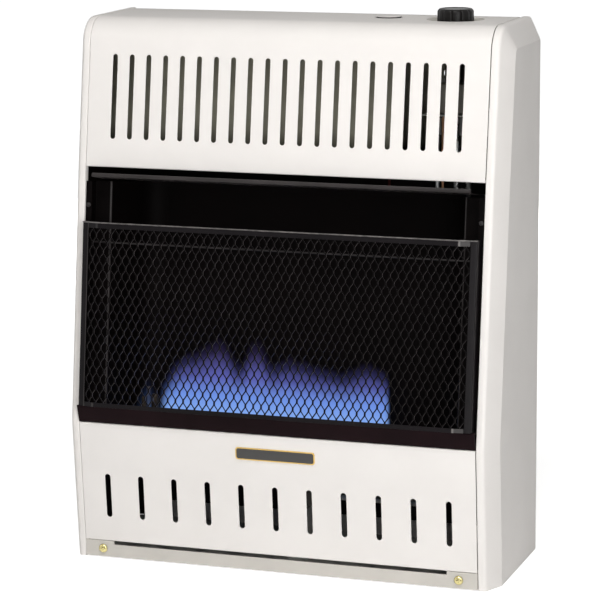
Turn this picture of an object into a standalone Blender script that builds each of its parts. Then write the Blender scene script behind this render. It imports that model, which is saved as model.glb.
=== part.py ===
"""Ventless gas heater: a sheet-steel wall cabinet with a louvred top, a firebox behind an expanded-metal guard,
and the burner, pilot, valve and gas tubes inside. Metres, +Z up, the front faces -Y."""

from math import cos, hypot, pi, radians, sin, tan

import bmesh
import bpy
from mathutils import Matrix, Vector

# Cabinet
HEIGHT = 0.5804  # floor to deck
CENTRE_WIDTH = 0.4396  # between the seams of the two side panels
SIDE_WIDTH = 0.0190  # each side panel, seam to outer face
BODY_DEPTH = 0.1829  # wall to the crease of the front, its furthest point
CREASE_Z = 0.1525
PANEL_DROP = 0.1565  # from the deck down to the lower edge of the upper front panel
LEAN_LOWER = radians(4.75)  # the front below the crease tucks in
LEAN_MIDDLE = radians(6.96)
LEAN_UPPER = radians(8.45)
DECK_BEND = 0.0280
DECK_REAR = 0.0103  # deck edge to wall
SHEET = 0.0010
GAP = 0.0003  # between pieces that touch

# Side panels
STRIP = 0.0080  # flat border beside the seam
CHAMFER_DEPTH = 0.0260
CHAMFER_DROP = 0.0241
CHAMFER_BEND = 0.0100
SEAM_RETURN = 0.0080
WALL_FLANGE = 0.0160
FOOT_FLANGE = 0.0250
FLANGE_RELIEF = 0.0150

# Louvre slots
TOP_SLOTS = 21
TOP_PITCH = 0.0190
TOP_SLOT = (0.0055, 0.0898)  # width, length
TOP_SLOT_DROP = 0.0821  # from the deck down to the slots' middle
LOW_SLOTS = 11
LOW_PITCH = 0.0380
LOW_SLOT = (0.0062, 0.0490)
LOW_SLOT_Z = 0.0711
SLOT_ARC = 4  # facets on a slot's round end

# Lower panel and pan
LOW_EDGE_Z = 0.0194
PANEL_FLANGE = 0.0100
PAN_TAB = 0.0330  # each end of the pan's front lip
PAN_LIP_DROP = 0.0038
CASE_SCREW_INSET = 0.0202  # from the end of the panel
CASE_SCREW_Z = 0.0105
CASE_SCREW_HEAD = (0.0098, 0.0024)  # diameter, height
CASE_SCREW_SHANK = 0.0040

# Firebox, measured square to the leaning front
LINER_STEP = 0.0030  # outer strip behind the front
LINER_STRIP = 0.0065
LINER_RECESS = 0.0150
LINER_FLANGE = 0.0177  # from the outer strip in to the cheek
CHEEK_SPLAY = 0.0193
FIREBOX_DEPTH = 0.0850
LINER_DROP = 0.0154  # from the edge of the upper panel down to the top of the liner
LINER_SCREW_DROP = 0.0253
HOOD_REACH = 0.0103  # centre of the hem in front of the panels
HOOD_INSET = 0.0122  # from the end of the panels
HEM_RADIUS = 0.0023
HOOD_RISE = 0.0045
LEDGE_REACH = 0.0082
LEDGE_TOP = 0.0186

DEFLECTOR_FOOT = 0.0081  # above the edge of the upper panel
DEFLECTOR_INSET = 0.0680
DEFLECTOR_LEAN = 0.0180
DEFLECTOR_STOP = 0.1145  # from the right end of the panel, clear of the valve

# Guard, measured the same way
GUARD_DROP = 0.0423  # below the top of the liner
GUARD_REACH = 0.0160
GUARD_SHOULDER = 0.0105
GUARD_WING = 0.0182  # width of each end that bends back
GUARD_INSET = 0.0028  # from the end of the panels
GUARD_STRIP = 0.0070
GUARD_BARS = (0.0045, 0.0065)  # height of the lower and upper bars
GUARD_SHEET = 0.0012
NET_PITCH = (0.0174, 0.0340)  # diamond width and height
NET_STRAND = 0.0017
NET_SHEET = 0.0012
ROD_RADIUS = 0.0010
ROD_DROP = 0.0226  # below the guard's top
ROD_RECESS = 0.0100

# Controls
KNOB_PLACE = (0.0591, 0.0517)  # in from the right end of the panel, out from the wall
KNOB_DIAMETER = 0.0385
KNOB_HEIGHT = 0.0130
KNOB_RISE = 0.0112  # top of the knob above the deck
KNOB_LOBES = 12
KNOB_PHASE = radians(3.8)
GROOVE = (radians(3.2), 0.0011)  # half angle, depth
KNOB_DRAFT = 0.0003
KNOB_TRAVEL = 0.0035
STEM_DIAMETER = 0.0064
DISH_DIAMETER = 0.0615
DISH_DEPTH = 0.0065
COLLAR = (0.0120, 0.0008)  # diameter, rise above the dish floor
WASHER = (0.0130, 0.0020)  # diameter, thickness
WASHER_DROP = 0.0300  # below the dish
BUTTON_PLACE = (0.1327, 0.0480)
BUTTON_DIAMETER = 0.0272
BUTTON_PROUD = 0.0014
BUTTON_TRAVEL = 0.0050
BUTTON_SKIRT = 0.0030
VALVE_SIZE = (0.0460, 0.0420, 0.0340)
VALVE_DROP = 0.0814  # from the deck down to the middle of the body
BOSS_DIAMETER = 0.0220

# Burner train
BURNER_CLEAR = 0.0171  # from the firebox's rear wall to the burner's middle
BURNER_DROP = 0.0149  # below the firebox floor
BURNER_DIAMETER = 0.0250
BURNER_WALL = 0.0010
BURNER_ENDS = (0.0260, 0.0680)  # from the left and right corners of the firebox
PORTS = 26
PORT = (0.0030, 0.0110)
VENTURI_LENGTH = 0.0560
VENTURI_THROAT = 0.0140
VENTURI_BELL = 0.0220
SADDLE = (0.0015, 0.0460, 0.0300)
PILOT_GAP = 0.0130  # left of the burner
PILOT_FORWARD = 0.0020
PILOT_PLATE = (0.0240, 0.0280, 0.0012)
PILOT_SPREAD = (0.0050, 0.0070)
REGULATOR_PLACE = (0.0080, 0.0100, 0.0700)  # right of the middle, behind the burner, height
REGULATOR_SIZE = (0.0440, 0.0480)  # diameter, height
PORT_RISE = 0.0090  # from the base of the regulator to its ports
INLET_DIAMETER = 0.0110
INLET_BACK = 0.0060
BRACKET_DROP = 0.0300
PLUNGER = 0.0070
BARREL = 0.0180
BARREL_LENGTH = 0.0420
ORIFICE_GAP = 0.0040
ELBOW = (0.0140, 0.0160)  # right of the orifice and behind the burner's middle
LINE_DROPS = (0.0400, 0.0520, 0.0620)  # below the firebox floor: pilot gas, thermocouple, spark lead
OUTLET_JOG = (0.2260, 0.1660)  # below the valve, where the burner's tube steps over to it
TUBE_BEND = 0.0160
THIN_BEND = 0.0080
TUBE_RADIUS = 0.0030
THIN_TUBE_RADIUS = 0.0020
LEAD_RADIUS = 0.0015

HANGER_INSET = 0.0795  # from the end of the panels
HANGER_DROP = (0.0504, 0.0624)  # from the deck down to the slot's middle and to its round end
HANGER_SLOT = (0.0060, 0.0240)
HANGER_HOLE = 0.0120
INLET_HOLE = 0.0300

SEAM = CENTRE_WIDTH / 2
HALF_WIDTH = SEAM + SIDE_WIDTH
PANEL_HALF = SEAM - GAP
PANEL_EDGE_Z = HEIGHT - PANEL_DROP
TOP_SLOT_Z = HEIGHT - TOP_SLOT_DROP
CASE_SCREW_X = PANEL_HALF - CASE_SCREW_INSET
CHEEK_FRONT = PANEL_HALF - LINER_STRIP - LINER_FLANGE
CHEEK_REAR = CHEEK_FRONT - CHEEK_SPLAY
LINER_TOP = (PANEL_EDGE_Z - CREASE_Z) / cos(LEAN_MIDDLE) - LINER_DROP
HOOD_HALF = PANEL_HALF - HOOD_INSET
GUARD_HALF = PANEL_HALF - GUARD_INSET
GUARD_FACE = GUARD_HALF - GUARD_WING
GUARD_TOP = LINER_TOP - GUARD_DROP
GUARD_BOTTOM = LEDGE_TOP + GAP
SHELF_Z = CREASE_Z - SHEET - 2 * GAP  # the firebox floor lies under the lower panel's top flange
KNOB_TOP = HEIGHT + KNOB_RISE
VALVE_Z = HEIGHT - VALVE_DROP
KNOB_AT = (PANEL_HALF - KNOB_PLACE[0], -KNOB_PLACE[1])
BUTTON_AT = (PANEL_HALF - BUTTON_PLACE[0], -BUTTON_PLACE[1])
BURNER_Y = FIREBOX_DEPTH - BODY_DEPTH - BURNER_CLEAR
BURNER_Z = SHELF_Z - BURNER_DROP
BURNER_X = (-CHEEK_REAR + BURNER_ENDS[0], CHEEK_REAR - BURNER_ENDS[1])
PILOT_X = BURNER_X[0] - PILOT_GAP
PILOT_Y = BURNER_Y - PILOT_FORWARD
REGULATOR_AT = (REGULATOR_PLACE[0], BURNER_Y + REGULATOR_PLACE[1], REGULATOR_PLACE[2])
HANGER_X = PANEL_HALF - HANGER_INSET


def front_y(z):
    """How far in front of the wall the cabinet's face lies at a height (negative)."""
    if z <= CREASE_Z:
        return -BODY_DEPTH + (CREASE_Z - z) * tan(LEAN_LOWER)
    edge = -BODY_DEPTH + (min(z, PANEL_EDGE_Z) - CREASE_Z) * tan(LEAN_MIDDLE)
    return edge + max(z - PANEL_EDGE_Z, 0) * tan(LEAN_UPPER)


def leaning(out, up):
    """Wall-frame y and z of a point given square to the leaning middle of the front, from its crease."""
    return (
        -BODY_DEPTH - out * cos(LEAN_MIDDLE) + up * sin(LEAN_MIDDLE),
        CREASE_Z + out * sin(LEAN_MIDDLE) + up * cos(LEAN_MIDDLE),
    )


FRONT_REACH = -leaning(GUARD_REACH, GUARD_BOTTOM)[0]

for old in list(bpy.data.objects):
    bpy.data.objects.remove(old, do_unlink=True)

heater = bpy.data.collections.new("ventless_gas_heater")
cutters = bpy.data.collections.new("cutters")
for collection in (heater, cutters):
    bpy.context.scene.collection.children.link(collection)

# Everything hangs on two empties: one on the wall plane, one square to the leaning front at its crease.
wall = bpy.data.objects.new("wall_frame", None)
wall.location = (0, FRONT_REACH / 2, 0)
lean = bpy.data.objects.new("leaning_frame", None)
lean.parent = wall
lean.location = (0, -BODY_DEPTH, CREASE_Z)
lean.rotation_euler = (-LEAN_MIDDLE, 0, 0)
for empty in (wall, lean):
    heater.objects.link(empty)


# Materials
def material(name, colour, roughness, metallic=0.0):
    made = bpy.data.materials.new(name)
    made.use_nodes = True
    shader = made.node_tree.nodes["Principled BSDF"]
    shader.inputs["Base Color"].default_value = (*colour, 1)
    shader.inputs["Roughness"].default_value = roughness
    shader.inputs["Metallic"].default_value = metallic
    return made


CREAM = material("cream_powder_coat", (0.87, 0.84, 0.80), 0.35)
BLACK_STEEL = material("black_heat_paint", (0.012, 0.010, 0.010), 0.45)
ALUMINISED = material("aluminised_steel", (0.45, 0.43, 0.37), 0.45, 0.9)
BURNER_STEEL = material("burner_steel", (0.32, 0.30, 0.28), 0.4, 1.0)
BRASS = material("brass", (0.72, 0.53, 0.22), 0.3, 1.0)
ALUMINIUM = material("aluminium_tube", (0.78, 0.78, 0.78), 0.3, 1.0)
COPPER = material("copper", (0.75, 0.40, 0.25), 0.35, 1.0)
CASTING = material("valve_casting", (0.55, 0.52, 0.45), 0.5, 0.9)
ZINC = material("zinc_plate", (0.62, 0.62, 0.60), 0.4, 0.9)
BLACK_PLASTIC = material("knob_plastic", (0.02, 0.02, 0.02), 0.4)
CERAMIC = material("ceramic", (0.85, 0.83, 0.78), 0.3)
LEAD_COAT = material("lead_insulation", (0.30, 0.04, 0.03), 0.6)


# Modelling helpers
def finish(name, mesh, coat, parent=wall, collection=heater):
    made = bpy.data.objects.new(name, mesh)
    made.parent = parent
    collection.objects.link(made)
    if collection is cutters:
        made.hide_render = True
        made.display_type = "WIRE"
    elif coat:
        mesh.materials.append(coat)
    return made


def mesh_from(name, bm):
    mesh = bpy.data.meshes.new(name)
    bm.to_mesh(mesh)
    bm.free()
    return mesh


def smooth(made):
    made.data.shade_smooth()
    made.data.set_sharp_from_angle(angle=radians(35))
    return made


def block(name, size, centre, coat, parent=wall, collection=heater, rounding=0.0):
    bm = bmesh.new()
    bmesh.ops.create_cube(bm, size=1)
    bmesh.ops.scale(bm, vec=size, verts=bm.verts)
    made = finish(name, mesh_from(name, bm), coat, parent, collection)
    made.location = centre
    if rounding:
        bevel = made.modifiers.new("rounding", "BEVEL")
        bevel.width = rounding
        bevel.segments = 2
    return made


def drum(name, diameter, length, centre, coat, axis="Z", sides=24, parent=wall, collection=heater):
    bm = bmesh.new()
    radius = diameter / 2
    bmesh.ops.create_cone(bm, cap_ends=True, segments=sides, radius1=radius, radius2=radius, depth=length)
    made = finish(name, mesh_from(name, bm), coat, parent, collection)
    made.location = centre
    made.rotation_euler = {"Z": (0, 0, 0), "X": (0, pi / 2, 0), "Y": (pi / 2, 0, 0)}[axis]
    return made


def turned(name, profile, centre, coat, axis="Z", steps=24, parent=wall, collection=heater):
    """A closed profile of (radius, height) points, turned about the axis; it runs down its outer side."""
    bm = bmesh.new()
    ring = [bm.verts.new((radius, 0, height)) for radius, height in profile]
    for a, b in zip(ring, ring[1:] + ring[:1]):
        if not (a.co.x == 0 and b.co.x == 0):
            bm.edges.new((a, b))
    made = finish(name, mesh_from(name, bm), coat, parent, collection)
    made.location = centre
    made.rotation_euler = {"Z": (0, 0, 0), "X": (0, pi / 2, 0), "Y": (pi / 2, 0, 0)}[axis]
    screw = made.modifiers.new("turning", "SCREW")
    screw.steps = screw.render_steps = steps
    screw.use_merge_vertices = True
    screw.merge_threshold = 0.00001
    return made


def tube(name, points, radius, coat, sides=2):
    curve = bpy.data.curves.new(name, "CURVE")
    curve.dimensions = "3D"
    curve.bevel_depth = radius
    curve.bevel_resolution = sides
    curve.use_fill_caps = True
    line = curve.splines.new("POLY")
    line.points.add(len(points) - 1)
    for point, place in zip(line.points, points):
        point.co = (*place, 1)
    return finish(name, curve, coat)


def routed(corners, bend, facets=4):
    """A tube's route: straight runs with their corners rounded to a bend radius."""
    corners = [Vector(corner) for corner in corners]
    route = [corners[0]]
    for before, corner, after in zip(corners, corners[1:], corners[2:]):
        arrive = (corner - before).normalized()
        leave = (after - corner).normalized()
        turn = arrive.angle(leave)
        setback = bend * tan(turn / 2)
        centre = corner - arrive * setback + (leave - arrive * arrive.dot(leave)).normalized() * bend
        start = corner - arrive * setback - centre
        axis = arrive.cross(leave).normalized()
        for step in range(facets + 1):
            route.append(centre + Matrix.Rotation(turn * step / facets, 3, axis) @ start)
    return route + [corners[-1]]


def drawn_sheet(name, path, along, coat, thickness, side, parent):
    """Sheet from a folded line of points drawn out along a vector; side +1 or -1 is where its thickness lies."""
    bm = bmesh.new()
    near = [bm.verts.new(point) for point in path]
    far = [bm.verts.new(Vector(point) + Vector(along)) for point in path]
    for number in range(len(path) - 1):
        bm.faces.new((near[number], far[number], far[number + 1], near[number + 1]))
    made = finish(name, mesh_from(name, bm), coat, parent)
    thick = made.modifiers.new("sheet", "SOLIDIFY")
    thick.thickness = thickness
    thick.offset = side
    thick.use_even_offset = True
    return made


def folded(name, path, half, coat, thickness=SHEET, side=-1, parent=wall, ends=None):
    """Sheet folded along X from (y, z) points; side -1 is behind a path that climbs the front."""
    left, right = ends or (-half, half)
    points = [(left, y, z) for y, z in path]
    return drawn_sheet(name, points, (right - left, 0, 0), coat, thickness, side, parent)


def upright(name, half_plan, low, high, coat, thickness=SHEET, parent=lean):
    """Sheet folded in plan from its right half, mirrored; its thickness lies behind the plan."""
    plan = half_plan + [(-x, y) for x, y in reversed(half_plan)]
    points = [(x, y, low) for x, y in plan]
    return drawn_sheet(name, points, (0, 0, high - low), coat, thickness, -1, parent)


def cut(made, cutter, operation="DIFFERENCE"):
    boolean = made.modifiers.new(cutter.name, "BOOLEAN")
    boolean.operation = operation
    boolean.solver = "EXACT"
    boolean.object = cutter
    return made


def prism(bm, outline, depth):
    """Adds a closed prism to bm: an outline of (x, z) points, drawn out by depth along Y about its own plane."""
    face = bm.faces.new([bm.verts.new((x, -depth / 2, z)) for x, z in outline])
    drawn = bmesh.ops.extrude_face_region(bm, geom=[face])["geom"]
    moved = [item for item in drawn if isinstance(item, bmesh.types.BMVert)]
    bmesh.ops.translate(bm, vec=(0, depth, 0), verts=moved)


def slot_outline(x, width, length):
    """A slot with round ends, standing upright."""
    radius = width / 2
    straight = length / 2 - radius
    outline = []
    for end in (1, -1):
        for step in range(SLOT_ARC + 1):
            angle = pi * step / SLOT_ARC + (0 if end == 1 else pi)
            outline.append((x + radius * cos(angle), end * straight + radius * sin(angle)))
    return outline


def slot_cutter(name, count, pitch, slot, z, lean_angle):
    bm = bmesh.new()
    for number in range(count):
        prism(bm, slot_outline((number - (count - 1) / 2) * pitch, *slot), CHAMFER_DEPTH)
    bmesh.ops.recalc_face_normals(bm, faces=bm.faces)
    made = finish(name, mesh_from(name, bm), None, wall, cutters)
    made.location = (0, front_y(z), z)
    made.rotation_euler = (lean_angle, 0, 0)
    return made


def case_outline(inset_front, inset_top, bend, facets=7):
    """The cabinet's side outline as (y, z): up the front from the floor, round the bend and back along the deck."""
    top = HEIGHT - inset_top
    corner = front_y(top) + inset_front
    turn = pi / 2 - LEAN_UPPER
    setback = bend * tan(turn / 2)
    outline = [(front_y(z) + inset_front, z) for z in (0, CREASE_Z, PANEL_EDGE_Z)]
    for step in range(facets + 1):
        angle = pi - LEAN_UPPER - turn * step / facets
        outline.append((corner + setback + bend * cos(angle), top - bend + bend * sin(angle)))
    return outline + [(0, top)]


# Cabinet
def side_panel(name, side):
    """End panel: seam return, flat border, chamfer and side face in one folded sheet with wall and foot flanges."""
    rows = [
        (SEAM, case_outline(SEAM_RETURN, SEAM_RETURN, DECK_BEND - SEAM_RETURN)),
        (SEAM, case_outline(0, 0, DECK_BEND)),
        (SEAM + STRIP, case_outline(0, 0, DECK_BEND)),
        (HALF_WIDTH, case_outline(CHAMFER_DEPTH, CHAMFER_DROP, CHAMFER_BEND)),
    ]
    bm = bmesh.new()
    loops = [[bm.verts.new((side * x, y, z)) for y, z in outline] for x, outline in rows]
    for one, two in zip(loops, loops[1:]):
        for number in range(len(one) - 1):
            bm.faces.new((one[number], one[number + 1], two[number + 1], two[number]))
    rim = loops[-1]
    face_x = side * HALF_WIDTH
    flange_top = rim[-1].co.z - FLANGE_RELIEF
    wall_top = bm.verts.new((face_x, 0, flange_top))
    wall_low = bm.verts.new((face_x, 0, FLANGE_RELIEF))
    heel = bm.verts.new((face_x, 0, 0))
    foot_rear = bm.verts.new((face_x, -FLANGE_RELIEF, 0))
    bm.faces.new((*rim, wall_top, wall_low, heel, foot_rear))
    wall_in = [bm.verts.new((side * (HALF_WIDTH - WALL_FLANGE), 0, z)) for z in (flange_top, FLANGE_RELIEF)]
    bm.faces.new((wall_top, wall_in[0], wall_in[1], wall_low))
    foot_in = [bm.verts.new((side * (HALF_WIDTH - FOOT_FLANGE), y, 0)) for y in (rim[0].co.y, -FLANGE_RELIEF)]
    bm.faces.new((rim[0], foot_rear, foot_in[1], foot_in[0]))
    bmesh.ops.recalc_face_normals(bm, faces=bm.faces)
    outer = max(bm.faces, key=lambda face: face.calc_area())
    if outer.normal.x * side < 0:
        bmesh.ops.reverse_faces(bm, faces=bm.faces)
    made = finish(name, mesh_from(name, bm), CREAM)
    thick = made.modifiers.new("sheet", "SOLIDIFY")
    thick.thickness = SHEET
    thick.offset = -1
    thick.use_even_offset = True
    return made


side_panel("side_panel_left", -1)
side_panel("side_panel_right", 1)


def upper_front_panel():
    outline = case_outline(0, 0, DECK_BEND)[2:-1]
    edge_y = outline[0][0]
    path = [(edge_y + PANEL_FLANGE, PANEL_EDGE_Z + SHEET)] + [(edge_y, PANEL_EDGE_Z)] + outline[1:]
    path += [(-DECK_REAR, HEIGHT), (-DECK_REAR, HEIGHT - PANEL_FLANGE)]
    made = folded("upper_front_panel", path, PANEL_HALF, CREAM, side=-1)
    cut(made, slot_cutter("top_slots", TOP_SLOTS, TOP_PITCH, TOP_SLOT, TOP_SLOT_Z, -LEAN_UPPER))
    for name, at, diameter in (
        ("knob_opening", KNOB_AT, DISH_DIAMETER - 2 * SHEET),
        ("button_opening", BUTTON_AT, BUTTON_DIAMETER + 2 * GAP),
    ):
        place = (*at, HEIGHT)
        cut(made, drum(name, diameter, PANEL_FLANGE, place, None, sides=40, collection=cutters))
    rim = DISH_DIAMETER / 2
    lip = 0.4 * SHEET
    floor = -DISH_DEPTH
    hole = COLLAR[0] / 2 + 2 * GAP
    dish = [
        (rim, -lip),
        (rim, -2 * lip),
        (rim - 2 * SHEET, -2 * lip - SHEET),
        (rim - DISH_DEPTH, floor - SHEET),
        (hole, floor - SHEET),
        (hole, floor),
        (rim - DISH_DEPTH, floor),
        (rim - 2 * SHEET, -lip),
    ]
    pressed = turned("knob_dish", dish, (*KNOB_AT, HEIGHT), None, steps=40, collection=cutters)
    return cut(made, pressed, "UNION")


upper_front_panel()


def lower_front_panel():
    top = CREASE_Z - GAP
    path = [
        (front_y(LOW_EDGE_Z) + PANEL_FLANGE, LOW_EDGE_Z),
        (front_y(LOW_EDGE_Z), LOW_EDGE_Z),
        (front_y(top), top),
        (front_y(top) + PANEL_FLANGE, top),
    ]
    made = folded("lower_front_panel", path, PANEL_HALF, CREAM, side=-1)
    return cut(made, slot_cutter("low_slots", LOW_SLOTS, LOW_PITCH, LOW_SLOT, LOW_SLOT_Z, LEAN_LOWER))


lower_front_panel()

PAN_Z = SHEET + GAP
PAN_TOP = LOW_EDGE_Z - GAP
REAR_Y = -SHEET - GAP  # rear face of the back panel, against the wall flanges


def base_pan():
    lip_y = front_y(PAN_TOP)
    path = [(lip_y, PAN_TOP), (lip_y + 0.0005, PAN_Z), (REAR_Y - SHEET - GAP, PAN_Z)]
    path += [(REAR_Y - SHEET - GAP, PAN_Z + 2 * PANEL_FLANGE)]
    made = folded("base_pan", path, PANEL_HALF, CREAM, side=1)
    width = 2 * (PANEL_HALF - PAN_TAB)
    size = (width, PANEL_FLANGE, 2 * PAN_LIP_DROP)
    cut(made, block("pan_gap", size, (0, lip_y, PAN_TOP), None, collection=cutters))
    for side in (-1, 1):
        place = (side * CASE_SCREW_X, lip_y, CASE_SCREW_Z)
        hole = CASE_SCREW_SHANK + 2 * GAP
        cut(made, drum(f"screw_hole_{side}", hole, PANEL_FLANGE, place, None, "Y", 16, collection=cutters))
    return made


base_pan()


def case_screw(name, side):
    """Pan-head screw in the end of the pan's front lip."""
    diameter, height = CASE_SCREW_HEAD
    shank = CASE_SCREW_SHANK / 2
    profile = [(0, height), (diameter * 0.3, height * 0.9), (diameter / 2, height * 0.35), (diameter / 2, 0)]
    profile += [(shank, 0), (shank, -4 * height), (0, -4 * height)]
    place = (side * CASE_SCREW_X, front_y(PAN_TOP) - GAP, CASE_SCREW_Z)
    return turned(name, profile, place, BRASS, "Y", 20)


case_screw("case_screw_left", -1)
case_screw("case_screw_right", 1)


def back_panel():
    """Flat back with a folded top, two keyhole slots that hang it on the wall and a hole for the gas line."""
    top = HEIGHT - PANEL_FLANGE
    low = PANEL_FLANGE
    path = [(REAR_Y, low), (REAR_Y, top), (REAR_Y - PANEL_FLANGE / 2, top)]
    half = SEAM + STRIP - GAP
    made = folded("back_panel", path, half, ALUMINISED, side=1)
    for side in (-1, 1):
        bm = bmesh.new()
        prism(bm, slot_outline(side * HANGER_X, *HANGER_SLOT), PANEL_FLANGE)
        bmesh.ops.recalc_face_normals(bm, faces=bm.faces)
        hanger = finish(f"hanger_slot_{side}", mesh_from("hanger", bm), None, wall, cutters)
        hanger.location = (0, REAR_Y, HEIGHT - HANGER_DROP[0])
        cut(made, hanger)
        place = (side * HANGER_X, REAR_Y, HEIGHT - HANGER_DROP[1])
        cut(made, drum(f"hanger_hole_{side}", HANGER_HOLE, PANEL_FLANGE, place, None, "Y", 16, collection=cutters))
    place = (REGULATOR_AT[0], REAR_Y, REGULATOR_AT[2])
    return cut(made, drum("inlet_hole", INLET_HOLE, PANEL_FLANGE, place, None, "Y", 24, collection=cutters))


back_panel()


# Firebox
def firebox_liner():
    """One sheet folded in plan: outer strips, recessed flanges, splayed cheeks and the rear wall."""
    strip_in = PANEL_HALF - LINER_STRIP
    plan = [(PANEL_HALF, LINER_STEP), (strip_in, LINER_STEP), (strip_in, LINER_RECESS)]
    plan += [(CHEEK_FRONT, LINER_RECESS), (CHEEK_REAR, FIREBOX_DEPTH)]
    made = upright("firebox_liner", plan, -2 * LINER_RECESS, LINER_TOP, BLACK_STEEL)
    under = SHELF_Z + GAP
    size = (1, 1, under)
    cut(made, block("below_shelf", size, (0, 0, under / 2), None, collection=cutters))
    ledge_clear = (2 * PANEL_HALF + SHEET, 2 * LINER_RECESS, 2 * (LEDGE_TOP + SHEET + GAP))
    cut(made, block("ledge_clearance", ledge_clear, (0, 0, 0), None, lean, cutters))
    return made


firebox_liner()


def liner_screw(name, side):
    place = (side * (PANEL_HALF - LINER_STRIP / 2), LINER_STEP - GAP, LINER_TOP - LINER_SCREW_DROP)
    profile = [(0, 0.0014), (0.0016, 0.0012), (0.0026, 0.0004), (0.0026, 0), (0.0012, 0), (0.0012, -0.0002)]
    profile += [(0, -0.0002)]
    return turned(name, profile, place, BLACK_STEEL, "Y", 16, lean)


liner_screw("liner_screw_left", -1)
liner_screw("liner_screw_right", 1)


def firebox_hood():
    """Roof of the firebox, rising to the front and ending in a rolled hem."""
    seat = LINER_TOP + GAP
    lip = seat + HOOD_RISE
    centre = (-HOOD_REACH, lip + HEM_RADIUS)
    path = [(FIREBOX_DEPTH + SHEET, seat), (LINER_RECESS, seat + HOOD_RISE / 2)]
    for step in range(11):
        angle = -pi / 2 - radians(300) * step / 10
        path.append((centre[0] + HEM_RADIUS * cos(angle), centre[1] + HEM_RADIUS * sin(angle)))
    return folded("firebox_hood", path, HOOD_HALF, BLACK_STEEL, 0.8 * SHEET, -1, lean)


firebox_hood()


def guard_ledge():
    """Sloping lip above the lower panel with the flat ledge that the guard stands on."""
    rear = LINER_RECESS - GAP
    path = [(0, SHEET / 2), (-LEDGE_REACH, LEDGE_TOP), (rear, LEDGE_TOP)]
    path += [(rear, SHEET)]
    return folded("guard_ledge", path, PANEL_HALF, BLACK_STEEL, side=-1, parent=lean)


guard_ledge()


def burner_shelf():
    """Firebox floor with the opening that the burner lies in."""
    front = front_y(SHELF_Z) + SHEET + GAP
    rear = leaning(-FIREBOX_DEPTH - PANEL_FLANGE, 0)[0]
    path = [(front, SHELF_Z), (rear, SHELF_Z), (rear, SHELF_Z - PANEL_FLANGE)]
    made = folded("burner_shelf", path, PANEL_HALF, BLACK_STEEL)
    left, right = PILOT_X - PILOT_PLATE[0] / 2 + 2 * SHEET, BURNER_X[1] + VENTURI_LENGTH + SHEET
    size = (right - left, BURNER_DIAMETER + 6 * SHEET, PANEL_FLANGE)
    place = ((left + right) / 2, BURNER_Y, SHELF_Z)
    return cut(made, block("burner_opening", size, place, None, collection=cutters))


burner_shelf()


def heat_deflector():
    """Bright sheet behind the upper slots that turns the warm air forward, hung from the deck by its flange."""
    top = HEIGHT - SHEET - GAP
    rear = -DECK_REAR - DEFLECTOR_INSET
    foot = (rear - DEFLECTOR_LEAN, PANEL_EDGE_Z + DEFLECTOR_FOOT)
    path = [foot, (rear, top), (rear + PANEL_FLANGE, top)]
    return folded("heat_deflector", path, None, ALUMINISED, ends=(-PANEL_HALF, PANEL_HALF - DEFLECTOR_STOP))


heat_deflector()


# Guard
def guard_frame():
    """Rim of the guard: a bar along top and bottom that bends back round each end, and a strip up each side."""
    inner = GUARD_HALF - GUARD_STRIP
    plan = [(GUARD_HALF, LINER_STEP - GAP), (GUARD_HALF, -GUARD_SHOULDER)]
    plan += [(inner, -GUARD_SHOULDER - GUARD_SHEET), (GUARD_FACE, -GUARD_REACH)]
    made = upright("guard_frame", plan, GUARD_BOTTOM, GUARD_TOP, BLACK_STEEL, GUARD_SHEET)
    low, high = GUARD_BOTTOM + GUARD_BARS[0], GUARD_TOP - GUARD_BARS[1]
    middle = (low + high) / 2
    window = (2 * inner, 4 * GUARD_REACH, high - low)
    cut(made, block("guard_window", window, (0, 0, middle), None, lean, cutters))
    return made


guard_frame()


def net_cells(width, height):
    """Centres of the diamonds of an expanded-metal net, every second row set over by half a pitch."""
    wide, tall = NET_PITCH
    rows = int(height / tall) + 2
    columns = int(width / wide) + 2
    for row in range(-rows, rows + 1):
        for column in range(-columns, columns + 1):
            x = (column + (row % 2) / 2) * wide
            z = row * tall / 2
            if abs(x) < (width + wide) / 2 and abs(z) < (height + tall) / 2:
                yield x, z


def guard_mesh():
    """Expanded-metal net behind the frame, bent back at each side, with one diamond opening for each cell."""
    wide, tall = NET_PITCH
    slope = hypot(wide, tall)
    half_wide = wide / 2 - NET_STRAND * slope / (2 * tall)
    half_tall = tall / 2 - NET_STRAND * slope / (2 * wide)
    back = GUARD_SHEET + GAP
    inner = GUARD_HALF - GUARD_STRIP
    edge = inner + GUARD_STRIP / 2
    plan = [(edge, back - GUARD_SHOULDER - GUARD_SHEET / 2), (inner, back - GUARD_SHOULDER - GUARD_SHEET)]
    plan += [(GUARD_FACE, back - GUARD_REACH)]
    low, high = GUARD_BOTTOM + GAP, GUARD_TOP - GAP
    made = upright("guard_mesh", plan, low, high, BLACK_STEEL, NET_SHEET)
    open_low, open_high = GUARD_BOTTOM + GUARD_BARS[0], GUARD_TOP - GUARD_BARS[1]
    half_height = (open_high - open_low) / 2
    bm = bmesh.new()
    for x, z in net_cells(2 * inner, 2 * half_height):
        diamond = [(x - half_wide, z), (x, z - half_tall), (x + half_wide, z), (x, z + half_tall)]
        inside = clipped(diamond, inner - NET_STRAND, half_height)
        if inside:
            prism(bm, inside, 12 * NET_SHEET)
    bmesh.ops.recalc_face_normals(bm, faces=bm.faces)
    diamonds = finish("net_openings", mesh_from("net_openings", bm), None, lean, cutters)
    diamonds.location = (0, back - GUARD_REACH, (open_low + open_high) / 2)
    return cut(made, diamonds)


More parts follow.
